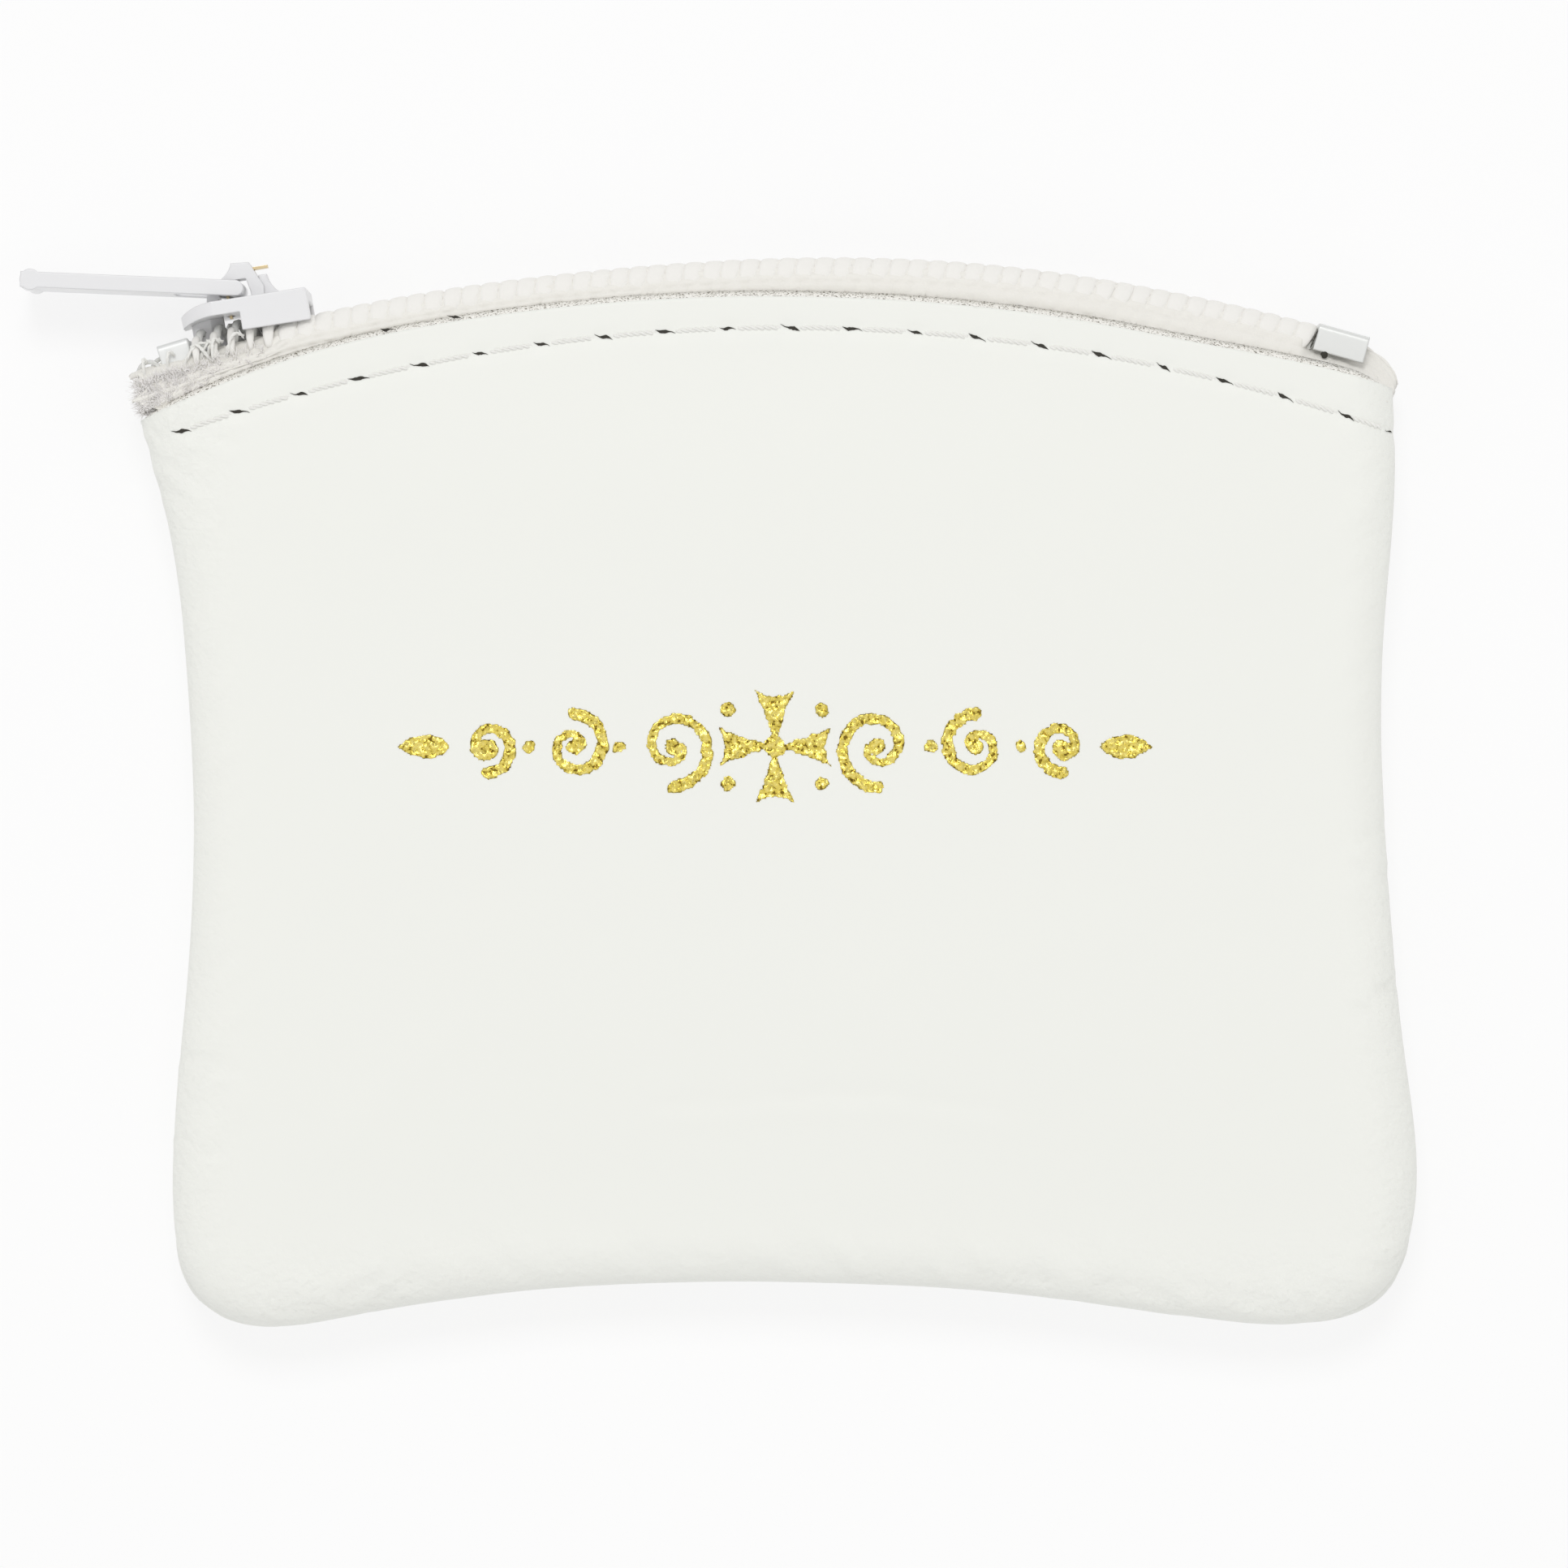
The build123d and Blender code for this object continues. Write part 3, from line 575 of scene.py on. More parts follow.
def from_outline(x, y):
    """Distance to the outline, and how far round the outline that is."""
    distance, along = np.zeros(len(x)), np.zeros(len(x))
    for start in range(0, len(x), 4000):
        some = slice(start, start + 4000)
        gap = np.hypot(x[some, None] - outline_line[:, 0], y[some, None] - outline_line[:, 1])
        nearest = gap.argmin(axis=1)
        distance[some] = gap[np.arange(len(nearest)), nearest]
        along[some] = outline_along[nearest]
    return distance, along


def relief(x, y):
    """How far the front leather stands over its plain form."""
    distance, along = from_outline(x, y)
    height = PLUMP * ease((distance - 2) / 20) * ease((36 - y) / 14)
    for size, seed, high in LUMPS:
        height = height + high * noise(x, y, size, seed)
    bottom = ease((-y - 24) / 8)
    skewed = along + 0.7 * distance
    ripple = noise(skewed, distance / 2, RIPPLE_PITCH, 5) + 0.6 * noise(skewed, distance / 3, 2.9, 6)
    ripple = ripple * np.exp(-(distance / RIPPLE_REACH) ** 2) * ease(distance / 1.1)
    height = height + ripple * (RIPPLE_SIDE + (RIPPLE_BOTTOM - RIPPLE_SIDE) * bottom)
    across = np.hypot(x - TOPSTITCH_X, y - TOPSTITCH_Y) - TOPSTITCH_RADIUS
    height = height - GROOVE * np.exp(-(across / GROOVE_HALF) ** 2)
    for hole_x, hole_y in on_topstitch(HOLES):
        far = np.hypot(x - hole_x, y - hole_y)
        height = height - PUCKER * np.exp(-(far / PUCKER_REACH) ** 2)
    for x0, y0, x1, y1, depth, half in CREASES:
        long_x, long_y = x1 - x0, y1 - y0
        length = math.hypot(long_x, long_y)
        share = ((x - x0) * long_x + (y - y0) * long_y) / length ** 2
        wander = 0.35 * noise(x, y, 2.0, 9)
        off = ((x - x0) * long_y - (y - y0) * long_x) / length + wander
        fade = ease((share + 0.15) / 0.3) * ease((1.15 - share) / 0.3)
        fold = np.exp(-(off / half) ** 2) - 0.5 * np.exp(-((off - 2 * half) / (1.5 * half)) ** 2)
        height = height - fade * CREASE_DEEPER * depth * fold
    return height


def front_rise(x, y):
    """Rise of the front leather's face, and of its upper rim."""
    x, y = np.atleast_1d(x), np.atleast_1d(y)
    inset = np.clip(1 - from_outline(x, y)[0] / RIM_UPPER, 0, 1)
    rim = RIM_WIDEST + (MIDDLE - RIM_WIDEST) * np.sqrt(1 - inset ** 2)
    return rim + relief(x, y)


def run_past(line):
    """The outline run straight on past both ends of the mouth."""
    far = np.linspace(6, 0.2, 40)[:, None]
    before = line[0] + unit(line[0] - line[3]) * far
    after = line[-1] + unit(line[-1] - line[-4]) * far[::-1]
    return np.concatenate([before, line, after])


def ring(line, inset, edge):
    """The outline moved in by an inset and cut at the mouth: left side down, bottom, right side up."""
    along = unit(np.gradient(line, axis=0))
    moved = line + np.column_stack([-along[:, 1], along[:, 0]]) * inset
    above = moved[:, 1] - edge(moved[:, 0])
    inside = np.flatnonzero(above < 0)
    first, last = inside[0], inside[-1]

    def crossing(outer, inner):
        share = above[outer] / (above[outer] - above[inner])
        return moved[outer] * (1 - share) + moved[inner] * share

    left_corner = np.argmin(line[:, 0] + line[:, 1])
    right_corner = np.argmin(line[:, 1] - line[:, 0])
    left = np.concatenate([[crossing(first - 1, first)], moved[first:left_corner + 1]])
    right = np.concatenate([moved[right_corner:last + 1], [crossing(last + 1, last)]])
    bottom = at_shares(moved[left_corner:right_corner + 1], np.linspace(0, 1, BOTTOM_COLUMNS + 1))
    return np.concatenate([
        at_shares(left, SIDE_ROWS)[:-1], bottom, at_shares(right, 1 - SIDE_ROWS[::-1])[1:],
    ])


def rim_rows():
    """Inset, rise and cut of each row from the end of the allowance to the flat of the panel."""
    rows = [(inset, SEAM_AT, allowance_edge) for inset in (ALLOWANCE, 3.6, 2.2)]
    lower = [(RIM_LOWER, SEAM_AT, turn) for turn in (90, 70, 50, 32, 15)]
    upper = [(RIM_UPPER, MIDDLE, turn) for turn in range(0, 91, 9)]
    for reach, end, turn in lower + upper:
        inset = reach * (1 - math.cos(math.radians(turn)))
        rise = RIM_WIDEST + (end - RIM_WIDEST) * math.sin(math.radians(turn))
        rows.append((inset, rise, mouth_edge))
    return rows + [(inset, MIDDLE, mouth_edge) for inset in FLAT_INSETS]


def fill_inside(border):
    """Points inside a border ring: a blend of its left side, bottom, right side and the mouth."""
    side = len(SIDE_ROWS) - 1
    left = border[:side + 1]
    bottom = border[side:side + BOTTOM_COLUMNS + 1]
    right = border[side + BOTTOM_COLUMNS:][::-1]
    x = np.linspace(left[0, 0], right[0, 0], BOTTOM_COLUMNS + 1)
    top = np.column_stack([x, mouth_edge(x)])
    top[0], top[-1] = left[0], right[0]
    across = np.linspace(0, 1, BOTTOM_COLUMNS + 1)[None, :, None]
    down = SIDE_ROWS[:, None, None]
    flat = (1 - down) * top[None] + down * bottom[None]
    upright = (1 - across) * left[:, None] + across * right[:, None]
    corners = (
        (1 - down) * ((1 - across) * left[0] + across * right[0])
        + down * ((1 - across) * left[-1] + across * right[-1])
    )
    return flat + upright - corners


def panel_sheet(line):
    """The panel's outer face as points and quads."""
    rows = rim_rows()
    rings = [ring(line, inset, edge) for inset, _, edge in rows]
    columns = len(rings[0])
    points = [np.column_stack([flat, np.full(columns, rise)]) for flat, (_, rise, _) in zip(rings, rows)]
    inside = fill_inside(rings[-1])
    index = np.zeros(inside.shape[:2], int)
    last_ring = (len(rows) - 1) * columns
    side = len(SIDE_ROWS) - 1
    index[:, 0] = last_ring + np.arange(side + 1)
    index[side, :] = last_ring + side + np.arange(BOTTOM_COLUMNS + 1)
    index[:, -1] = last_ring + columns - 1 - np.arange(side + 1)
    new = inside[:-1, 1:-1].reshape(-1, 2)
    index[:-1, 1:-1] = len(rows) * columns + np.arange(len(new)).reshape(side, -1)
    points.append(np.column_stack([new, np.full(len(new), MIDDLE)]))
    quads = np.stack([index[:-1, :-1], index[1:, :-1], index[1:, 1:], index[:-1, 1:]], -1).reshape(-1, 4)
    return np.concatenate(points), np.concatenate([grid_faces(len(rows), columns), quads])


def back_outline():
    """The back panel's outline, a little larger at both bottom corners."""
    line = cubic_through(OUTLINE, 1600)
    along = unit(np.gradient(line, axis=0))
    out = np.zeros(len(line))
    for x, y in BOTTOM_CORNERS:
        far = np.hypot(line[:, 0] - x, line[:, 1] - y)
        out = out + BACK_CORNER_OUT * np.exp(-(far / BACK_CORNER_REACH) ** 2)
    return line - np.column_stack([-along[:, 1], along[:, 0]]) * out[:, None]


def leather_panel(side, materials):
    """One panel: relief on its face, thickness behind it and a bevelled cut edge at the mouth."""
    line = back_outline() if side == "back" else cubic_through(OUTLINE, 1600)
    points, faces = panel_sheet(run_past(line))
    normals = normals_of(points, faces)
    if normals[-1, 2] < 0:
        faces = faces[:, ::-1]
        normals = -normals
    height = relief(points[:, 0], points[:, 1])
    if side == "back":
        height = np.minimum(height - PLUMP, 0)
    shown = ease((points[:, 2] - SEAM_AT) / RIM_WIDEST)
    points = points + normals * (height * shown)[:, None]
    lift = ease((points[:, 2] - RIM_WIDEST) / (MIDDLE - RIM_WIDEST))
    at_mouth = (mouth_edge(points[:, 0]) - points[:, 1] < 0.02) * lift
    outward = unit(points[:, :2] - (ARC_X, ARC_Y)) * (EDGE_BEVEL * at_mouth)[:, None]
    lip = np.column_stack([outward, np.zeros(len(points))])
    points, faces, kinds = shell(points, faces, LEATHER, lip)
    if side == "back":
        points, faces = turned_over(points, faces)
    piece = make(f"{side}_leather", points, faces, materials, kinds)
    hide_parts(f"{side}_panel")
    settle(piece, side)


# ---- needle holes and threads -------------------------------------------------------------

HOLE_LONG = 1.5
HOLE_WIDE = 0.25
HOLE_TURN = -17            # degrees from the row's own direction
LAST_HOLE = (19.35, 0.45)  # at the seam, half hidden
STRAY_HOLES = ((-28.7, 34.15), (-24.0, 35.05))
PLY = 0.11
PLY_OFFSET = 0.09
PLY_PITCH = 0.95


def hole_patch(x, y, row_angle, rng, size=1.0):
    """A thin torn slit with a tail at each end, a little over the leather's dimple; it is a dark patch of
    painted shade for the hole's inside.
    """
    count = 13
    share = np.linspace(-1, 1, count)
    widest = rng.uniform(-0.35, 0.35)
    body = np.exp(-((share - widest) / 0.42) ** 2)
    half = 0.5 * HOLE_WIDE * size * (0.22 + 0.9 * body * rng.uniform(0.7, 1.25, count))
    half = half * (1 - share ** 6)
    bow = 0.07 * rng.uniform(0.4, 1.3) * np.sin(math.pi * share) + rng.uniform(-0.015, 0.015, count)
    long = 0.5 * HOLE_LONG * size * share
    lean = math.radians(row_angle + HOLE_TURN + rng.uniform(-8, 8))
    sides = []
    for way in (1, -1):
        wide = bow + way * half
        edge_x = x + long * math.cos(lean) - wide * math.sin(lean)
        edge_y = y + long * math.sin(lean) + wide * math.cos(lean)
        sides.append(np.column_stack([edge_x, edge_y, front_rise(edge_x, edge_y) + 0.05]))
    faces = [(k + count, k + count + 1, k + 1, k) for k in range(count - 1)]
    return np.concatenate(sides), faces


def needle_hole_shadows(side, material):
    """The slits of the topstitching in one panel, as dark patches of painted shade."""
    rng = np.random.default_rng(21 if side == "front" else 22)
    patches = []
    places = [(degrees, 1.0) for degrees in HOLES[:-1]] + [LAST_HOLE]
    for degrees, size in places:
        x, y = on_topstitch(degrees)
        patches.append(hole_patch(x, y, -degrees, rng, size * rng.uniform(0.8, 1.1)))
    if side == "front":
        for x, y in STRAY_HOLES:
            patches.append(hole_patch(x, y, 10, rng, 0.8))
    add(side, "needle_hole_shadows", patches, material, cap=MIDDLE - 0.01)


def topstitching(side, material):
    """The stitches that show between the needle holes."""
    parts = []
    for number in range(TOPSTITCHES):
        share = np.linspace(0.09, 0.91, 40)
        flat = on_topstitch(np.interp(number + share, STITCH_NUMBERS, HOLES))
        down = np.exp(-((share - 0.09) / 0.07) ** 2) + np.exp(-((share - 0.91) / 0.07) ** 2)
        rise = front_rise(flat[:, 0], flat[:, 1]) - 0.02 - 0.5 * down
        if side == "back":
            rise = np.minimum(rise, MIDDLE - PLY - PLY_OFFSET)
        parts += twist(np.column_stack([flat, rise]), 2, PLY, PLY_OFFSET, PLY_PITCH, 5)
    add(side, "topstitch_soft", parts, material, "topstitch_thread")


def bobbin_thread(material):
    """The topstitching's other thread, on the tape inside."""
    degrees = np.linspace(HOLES[0], HOLES[-1], 500)
    flat = on_topstitch(degrees)
    rise = BOBBIN_RISE + 0.12 * np.abs(np.sin(math.pi * (degrees - HOLES[0]) / TOPSTITCH_STEP))
    parts = twist(np.column_stack([flat, rise]), 2, PLY, PLY_OFFSET * 0.8, PLY_PITCH, 5)
    add_both("bobbin_thread", parts, material)


def seam_thread(material):
    """The stitches that close the pouch, on the allowance inside."""
    line = ring(run_past(outline_line), SEAM_INSET, mouth_edge)
    length = lengths_along(line)[-1]
    parts = []
    for number in range(int((length - 2 * SEAM_START) / SEAM_PITCH)):
        share = (SEAM_START + (number + np.linspace(0.12, 0.88, 16)) * SEAM_PITCH) / length
        flat = at_shares(line, share)
        bow = np.sin(np.linspace(0, math.pi, 16)) ** 0.5
        rise = SEAM_AT + LEATHER - 0.25 + 0.4 * bow
        parts.append(tube(np.column_stack([flat, rise]), SEAM_THREAD, 6))
    add_both("seam_thread", parts, material)


# ---- zip ----------------------------------------------------------------------------------

TAPE = 0.3
TAPE_SECTION = [
    (139.5, 2.5), (143.0, 2.6), (146.6, 2.64), (147.5, 2.8), (148.3, 2.8), (149.0, 2.5),
    (149.55, 2.04), (149.78, 1.45), (149.6, 0.8),
]
TAPE_ROWS = np.concatenate([np.linspace(0, 0.55, 6)[:-1], np.linspace(0.55, 1, 52)])
TAPE_COLUMNS = 640
KNIT_PITCH = 1.33
KNIT_ROW = 0.62
KNIT_HEIGHT = 0.24
PARTED_BY = 0.45
CLAMPED = (14.6, 14.95)    # the bottom stop presses the tape down from here on
CLAMPED_BY = 0.95
END_ROUNDS_FROM = 15.4     # the tape's right end is rounded off
END_DROP = 2.3
TORN_FROM = -17.0          # its left end is torn
TORN_BY = 0.3
LEFT_SAG = 1.2             # and hangs down with the leather,
SAG_FROM = -13.0           # left of this angle
SAG_OVER = 5.0
SAG_BELOW = 149.2          # and below this radius
SWELL_LEFT = -0.2          # the zip's edge stands further out to the right
SWELL_RIGHT = 0.55
SWELL_OVER = (-7.0, 7.0)
NARROWED_BY = 0.5          # it is a little flatter where the open slider stops
NARROWED_FROM = 8.5
NOSE_AT = -13.3            # left of this the chain comes out of the slider's nose
NOSE_DIP = 0.55            # and its tape lies lower, its coil and loops stand higher
NOSE_COIL_OUT = 0.8
NOSE_COIL_TALL = 0.45
NOSE_LOOPS_OUT = 0.5

CHAIN_HALF = 0.3           # radial half height of a coil turn's centreline
CHAIN_REACH = 0.85
CHAIN_MIDDLE = 0.8
COIL_STEPS = 18            # points in one turn
CORD_RISE = 1.0
CORD_PLY = 0.14

LOOP_SECTION = [
    (147.9, 2.58), (148.55, 2.6), (149.15, 2.34), (149.58, 1.92), (149.76, 1.36), (149.6, 0.8),
]
LOOP_RADIUS = 149.5        # where their pitch and width are measured
LOOP_STEPS = 12            # points along a loop and round it
LOOP_HALF = 0.7            # along the zip
LOOP_THICK = 0.21
LOOP_LEAN = 0.5
LOOP_ENDS = (-15.9, 14.75)
LOOP_BARE = 0.3            # half length of the thinner loops over the bare coil


def under_nose(degrees):
    """0 to 1 in the open end of the zip, left of the slider."""
    return ease((NOSE_AT - np.asarray(degrees, float)) / 0.9)


def swell(degrees):
    """How far the zip's edge stands out past its own arc."""
    out = ease((np.asarray(degrees, float) - SWELL_OVER[0]) / (SWELL_OVER[1] - SWELL_OVER[0]))
    return SWELL_LEFT + (SWELL_RIGHT - SWELL_LEFT) * out - NOSE_DIP * under_nose(degrees)


def narrowed(degrees):
    """How much flatter the zip is where the slider stops when it is open."""
    return NARROWED_BY * ease((np.asarray(degrees, float) - NARROWED_FROM) / 2)


def left_sag(degrees, radius):
    """How far the tape's left end hangs down."""
    return LEFT_SAG * ease((SAG_FROM - degrees) / SAG_OVER) * ease((SAG_BELOW - radius) / 3)


def clamped(degrees):
    """0 to 1 where the bottom stop holds the tape."""
    return ease((np.asarray(degrees, float) - CLAMPED[0]) / (CLAMPED[1] - CLAMPED[0]))


def parted(degrees):
    """How far a side of the zip stands away from the other, left of the slider."""
    return PARTED_BY * ease((PARTED_TO - np.asarray(degrees, float)) / (PARTED_TO - PARTED_FROM))


def zip_tape(material):
    """The tape: flat where it is sewn in, then curling over the coil, with its knitted rows."""
    section = at_shares(cubic_through(TAPE_SECTION, 400), TAPE_ROWS)
    across = lengths_along(section)
    share = np.linspace(0, 1, TAPE_COLUMNS)
    out = ease((section[:, 0] - MOUTH_RADIUS + 1.0) / 1.0)[:, None]
    first = TAPE_SEWN[0] + (TAPE_ENDS[0] - TAPE_SEWN[0]) * out
    last = TAPE_SEWN[1] + (TAPE_ENDS[1] - TAPE_SEWN[1]) * out
    degrees = first + (last - first) * share
    torn = TORN_BY * noise(across, across * 0, 0.5, 32)[:, None] * out
    degrees = degrees + torn * ease((TORN_FROM - degrees) / 0.7)
    along = np.radians(degrees) * CHAIN_RADIUS
    row = across[:, None] / KNIT_ROW
    stagger = np.floor(row) * 0.5
    lumps = np.abs(np.sin(math.pi * (along / KNIT_PITCH + stagger)))
    knit = np.abs(np.sin(math.pi * row)) ** 0.5 * (0.35 + 0.65 * lumps ** 0.6)
    uneven = noise(along, across[:, None] + 0 * along, 0.8, 31)
    bump = (KNIT_HEIGHT * (0.7 + 0.3 * uneven) * knit - 0.1) * out
    beyond = ease((section[:, :1] - MOUTH_RADIUS) / 1.2)
    pressed = (CLAMPED_BY * clamped(degrees) + narrowed(degrees)) * beyond
    points = on_zip(section[:, :1] + swell(degrees) * beyond, degrees,
                    section[:, 1:] + parted(degrees) - pressed)
    points[..., 1] -= left_sag(degrees, section[:, :1])
    round_off = np.clip((degrees - END_ROUNDS_FROM) / (TAPE_ENDS[1] - END_ROUNDS_FROM), 0, 1)
    points[..., 1] -= END_DROP * (1 - np.sqrt(1 - round_off ** 2)) * ease((section[:, :1] - 146) / 3)
    flat_points = points.reshape(-1, 3)
    faces = grid_faces(*degrees.shape)
    normals = normals_of(flat_points, faces)
    if normals[TAPE_COLUMNS * 3 + 50, 2] < 0:
        faces, normals = faces[:, ::-1], -normals
    flat_points = flat_points + normals * bump.reshape(-1, 1)
    points, faces, _ = shell(flat_points, faces, TAPE)
    add_both("zip_tape", [(points, [tuple(face) for face in faces.tolist()])], material)


def zip_coil(material):
    """A helix of nylon wire on each side; the back's turns lie between the front's."""
    step = math.degrees(COIL_PITCH / CHAIN_RADIUS)
    turns = int((COIL_ENDS[1] - COIL_ENDS[0]) / step)
    for side, shift in (("front", 0.0), ("back", 0.5)):
        turn = np.linspace(0, turns, turns * COIL_STEPS)
        degrees = COIL_ENDS[0] + step * (turn + shift)
        angle = 2 * math.pi * turn
        bare = under_nose(degrees)
        tall = CHAIN_HALF + NOSE_COIL_TALL * bare
        radius = CHAIN_RADIUS + NOSE_COIL_OUT * bare - tall * np.cos(angle)
        path = on_zip(radius, degrees, CHAIN_MIDDLE + CHAIN_REACH * np.sin(angle) + parted(degrees))
        wire = tube(path, COIL_WIRE * (1 + 0.2 * bare), 6)
        add(side, "coil_soft", [wire], material, "coil")


def zip_cord(material):
    """The cord inside the coil."""
    degrees = np.linspace(*COIL_ENDS, 400)
    path = on_zip(CHAIN_RADIUS, degrees, CORD_RISE + parted(degrees))
    add_both("coil_cord", twist(path, 2, CORD_PLY, 0.09, 1.2, 5), material)


def stitch_loop(degrees):
    """One fat loop of thread over the coil: a flat pillow that wraps the tape's rolled edge."""
    section = cubic_through(LOOP_SECTION, LOOP_STEPS)
    along = unit(np.gradient(section, axis=0))
    out = np.column_stack([-along[:, 1], along[:, 0]])
    out = out * np.sign(out[LOOP_STEPS // 2, 0])
    turn = np.linspace(0, 2 * math.pi, LOOP_STEPS, endpoint=False)
    share = np.linspace(0, 1, LOOP_STEPS)
    full = np.clip(np.sin(math.pi * np.clip(share * 0.92 + 0.04, 0, 1)), 0, 1) ** 0.4
    wide = np.sign(np.cos(turn)) * np.abs(np.cos(turn)) ** 0.8
    lift = LOOP_THICK * full[:, None] * np.sin(turn)
    bare = under_nose(degrees)
    radius = section[:, :1] + out[:, :1] * lift + swell(degrees) + (NOSE_DIP + NOSE_LOOPS_OUT) * bare
    rise = section[:, 1:] + out[:, 1:] * lift + parted(degrees) - narrowed(degrees)
    half = LOOP_HALF + (LOOP_BARE - LOOP_HALF) * bare
    slant = LOOP_LEAN * (share[:, None] - 0.5) + half * full[:, None] * wide
    points = on_zip(radius, degrees + np.degrees(slant / LOOP_RADIUS), rise).reshape(-1, 3)
    index = np.arange(LOOP_STEPS ** 2).reshape(LOOP_STEPS, LOOP_STEPS)
    after = np.roll(index, -1, axis=1)
    quads = np.stack([index[:-1], index[1:], after[1:], after[:-1]], -1).reshape(-1, 4)
    ends = [tuple(index[0].tolist()), tuple(index[-1, ::-1].tolist())]
    return points, [*map(tuple, quads.tolist()), *ends]


def zip_stitching(material):
    """The loops that sew the coil down; they make the zip's bumpy edge."""
    rng = np.random.default_rng(37)
    step = math.degrees(KNIT_PITCH / LOOP_RADIUS)
    places = np.arange(LOOP_ENDS[0], LOOP_ENDS[1], step)
    parts = [stitch_loop(degrees + step * rng.uniform(-0.03, 0.03)) for degrees in places]
    add_both("coil_stitching", parts, material)


FUZZ_COUNT = 800
FUZZ_SPAN = (-45.5, 41.5)
FRAY_COUNT = 1300          # fibres at the tape's cut end
PILE_COUNT = 2800          # and along its lower side
FRAY_RADII = (144.6, 148.4)
FRAY_RISES = (-2.7, 3.1)
PILE_RISE = 2.78
PILE_REACH = 3.6           # degrees from the cut end


def fibre(start, way, curl, radius, joints):
    """A short loose fibre."""
    share = np.linspace(0, 1, joints)[:, None]
    return tube(start + way * share + curl * share ** 2, radius * (1.2 - share[:, 0]), 3)


def heading(degrees, length, lift):
    """A step of this length in the plane, lifted by a share of it."""
    turn = math.radians(degrees)
    return length * np.array([math.cos(turn), math.sin(turn), lift])


def cut_edge_fuzz(material):
    """Fibres that stand out of the leather's cut edge along the mouth."""
    rng = np.random.default_rng(47)
    parts = []
    for _ in range(FUZZ_COUNT):
        x = rng.uniform(*FUZZ_SPAN)
        down = rng.uniform(0, 1)
        start = np.array([x, mouth_edge(x) + EDGE_BEVEL * down - 0.03, MIDDLE - 0.02 - LEATHER * down])
        lean = rng.normal(90, 55)
        way = heading(lean, rng.uniform(0.12, 0.42), rng.uniform(0, 0.8))
        parts.append(fibre(start, way, rng.normal(0, 0.08, 3), rng.uniform(0.012, 0.024), 3))
    for side in ("front", "back"):
        add(side, "cut_edge_fuzz", parts, material, cap=MIDDLE - 0.02)


def frayed_end(material):
    """Short fibres where the tape was cut, at its left end and along its lower side."""
    rng = np.random.default_rng(41)
    parts = []
    for number in range(FRAY_COUNT + PILE_COUNT):
        at_end = number < FRAY_COUNT
        radius = rng.uniform(*FRAY_RADII)
        spread = abs(rng.normal(0, 0.2 if at_end else 1.4))
        degrees = TAPE_ENDS[0] + min(spread, PILE_REACH)
        rise = rng.uniform(*FRAY_RISES) if at_end else PILE_RISE + parted(degrees)
        start = on_zip(radius, degrees, rise)
        start[1] -= left_sag(degrees, radius)
        if start[1] < mouth_edge(start[0]) + EDGE_BEVEL * 0.7:
            continue                           # it would be under the leather
        lean = rng.normal(185, 42) if at_end else rng.normal(110, 40)
        length = rng.uniform(0.25, 0.85) if at_end else rng.uniform(0.25, 0.6)
        way = heading(lean, length, rng.normal(0.2, 0.35))
        parts.append(fibre(start, way, rng.normal(0, 0.3, 3) * length, rng.uniform(0.025, 0.05), 5))
    points, faces = joined(parts)
    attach(make("tape_frayed_end", points, faces, [material]), "back")


CUT_TURNS = (-17.35, -17.0, -16.1, -15.75)
CUT_TURN_WIRE = 0.16
LOOSE_THREADS = 9
LOOSE_THREADS_FROM = (-17.5, -15.2)


def loose_turns(material, thread):
    """Cut turns of the coil and thread standing out of the open end of the zip."""
    rng = np.random.default_rng(43)
    loops, threads = [], []
    for number, degrees in enumerate(CUT_TURNS):
        turn = np.linspace(-0.35, 1.2, 26) * math.pi
        radius = 148.6 + 0.85 * np.sin(turn)
        along = degrees + 0.32 * np.cos(turn) + 0.05 * number
        loops.append(tube(on_zip(radius, along, 1.6 + 0.6 * np.cos(turn + number)), CUT_TURN_WIRE, 7))
    for _ in range(LOOSE_THREADS):
        degrees = rng.uniform(*LOOSE_THREADS_FROM)
        lean = rng.normal(0, 0.5)
        share = np.linspace(0, 1, 9)
        path = on_zip(147.9 + 1.7 * np.sin(share * 2.2), degrees + (0.5 + lean) * share,
                      2.3 + 0.5 * np.sin(share * 3) + rng.normal(0, 0.15))
        threads += twist(path, 2, 0.09, 0.07, 0.7, 5)
    for name, parts, finish in (("loose_turns", loops, material), ("loose_threads", threads, thread)):
        points, faces = joined(parts)
        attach(make(name, points, faces, [finish]), "back")


# ---- foil ornament ------------------------------------------------------------------------

FOIL_CELL = 0.11
FOIL_LIFT = 0.035
FOIL_THICK = 0.03
FOIL_HALF_X = 27.6
FOIL_HALF_Y = 4.9


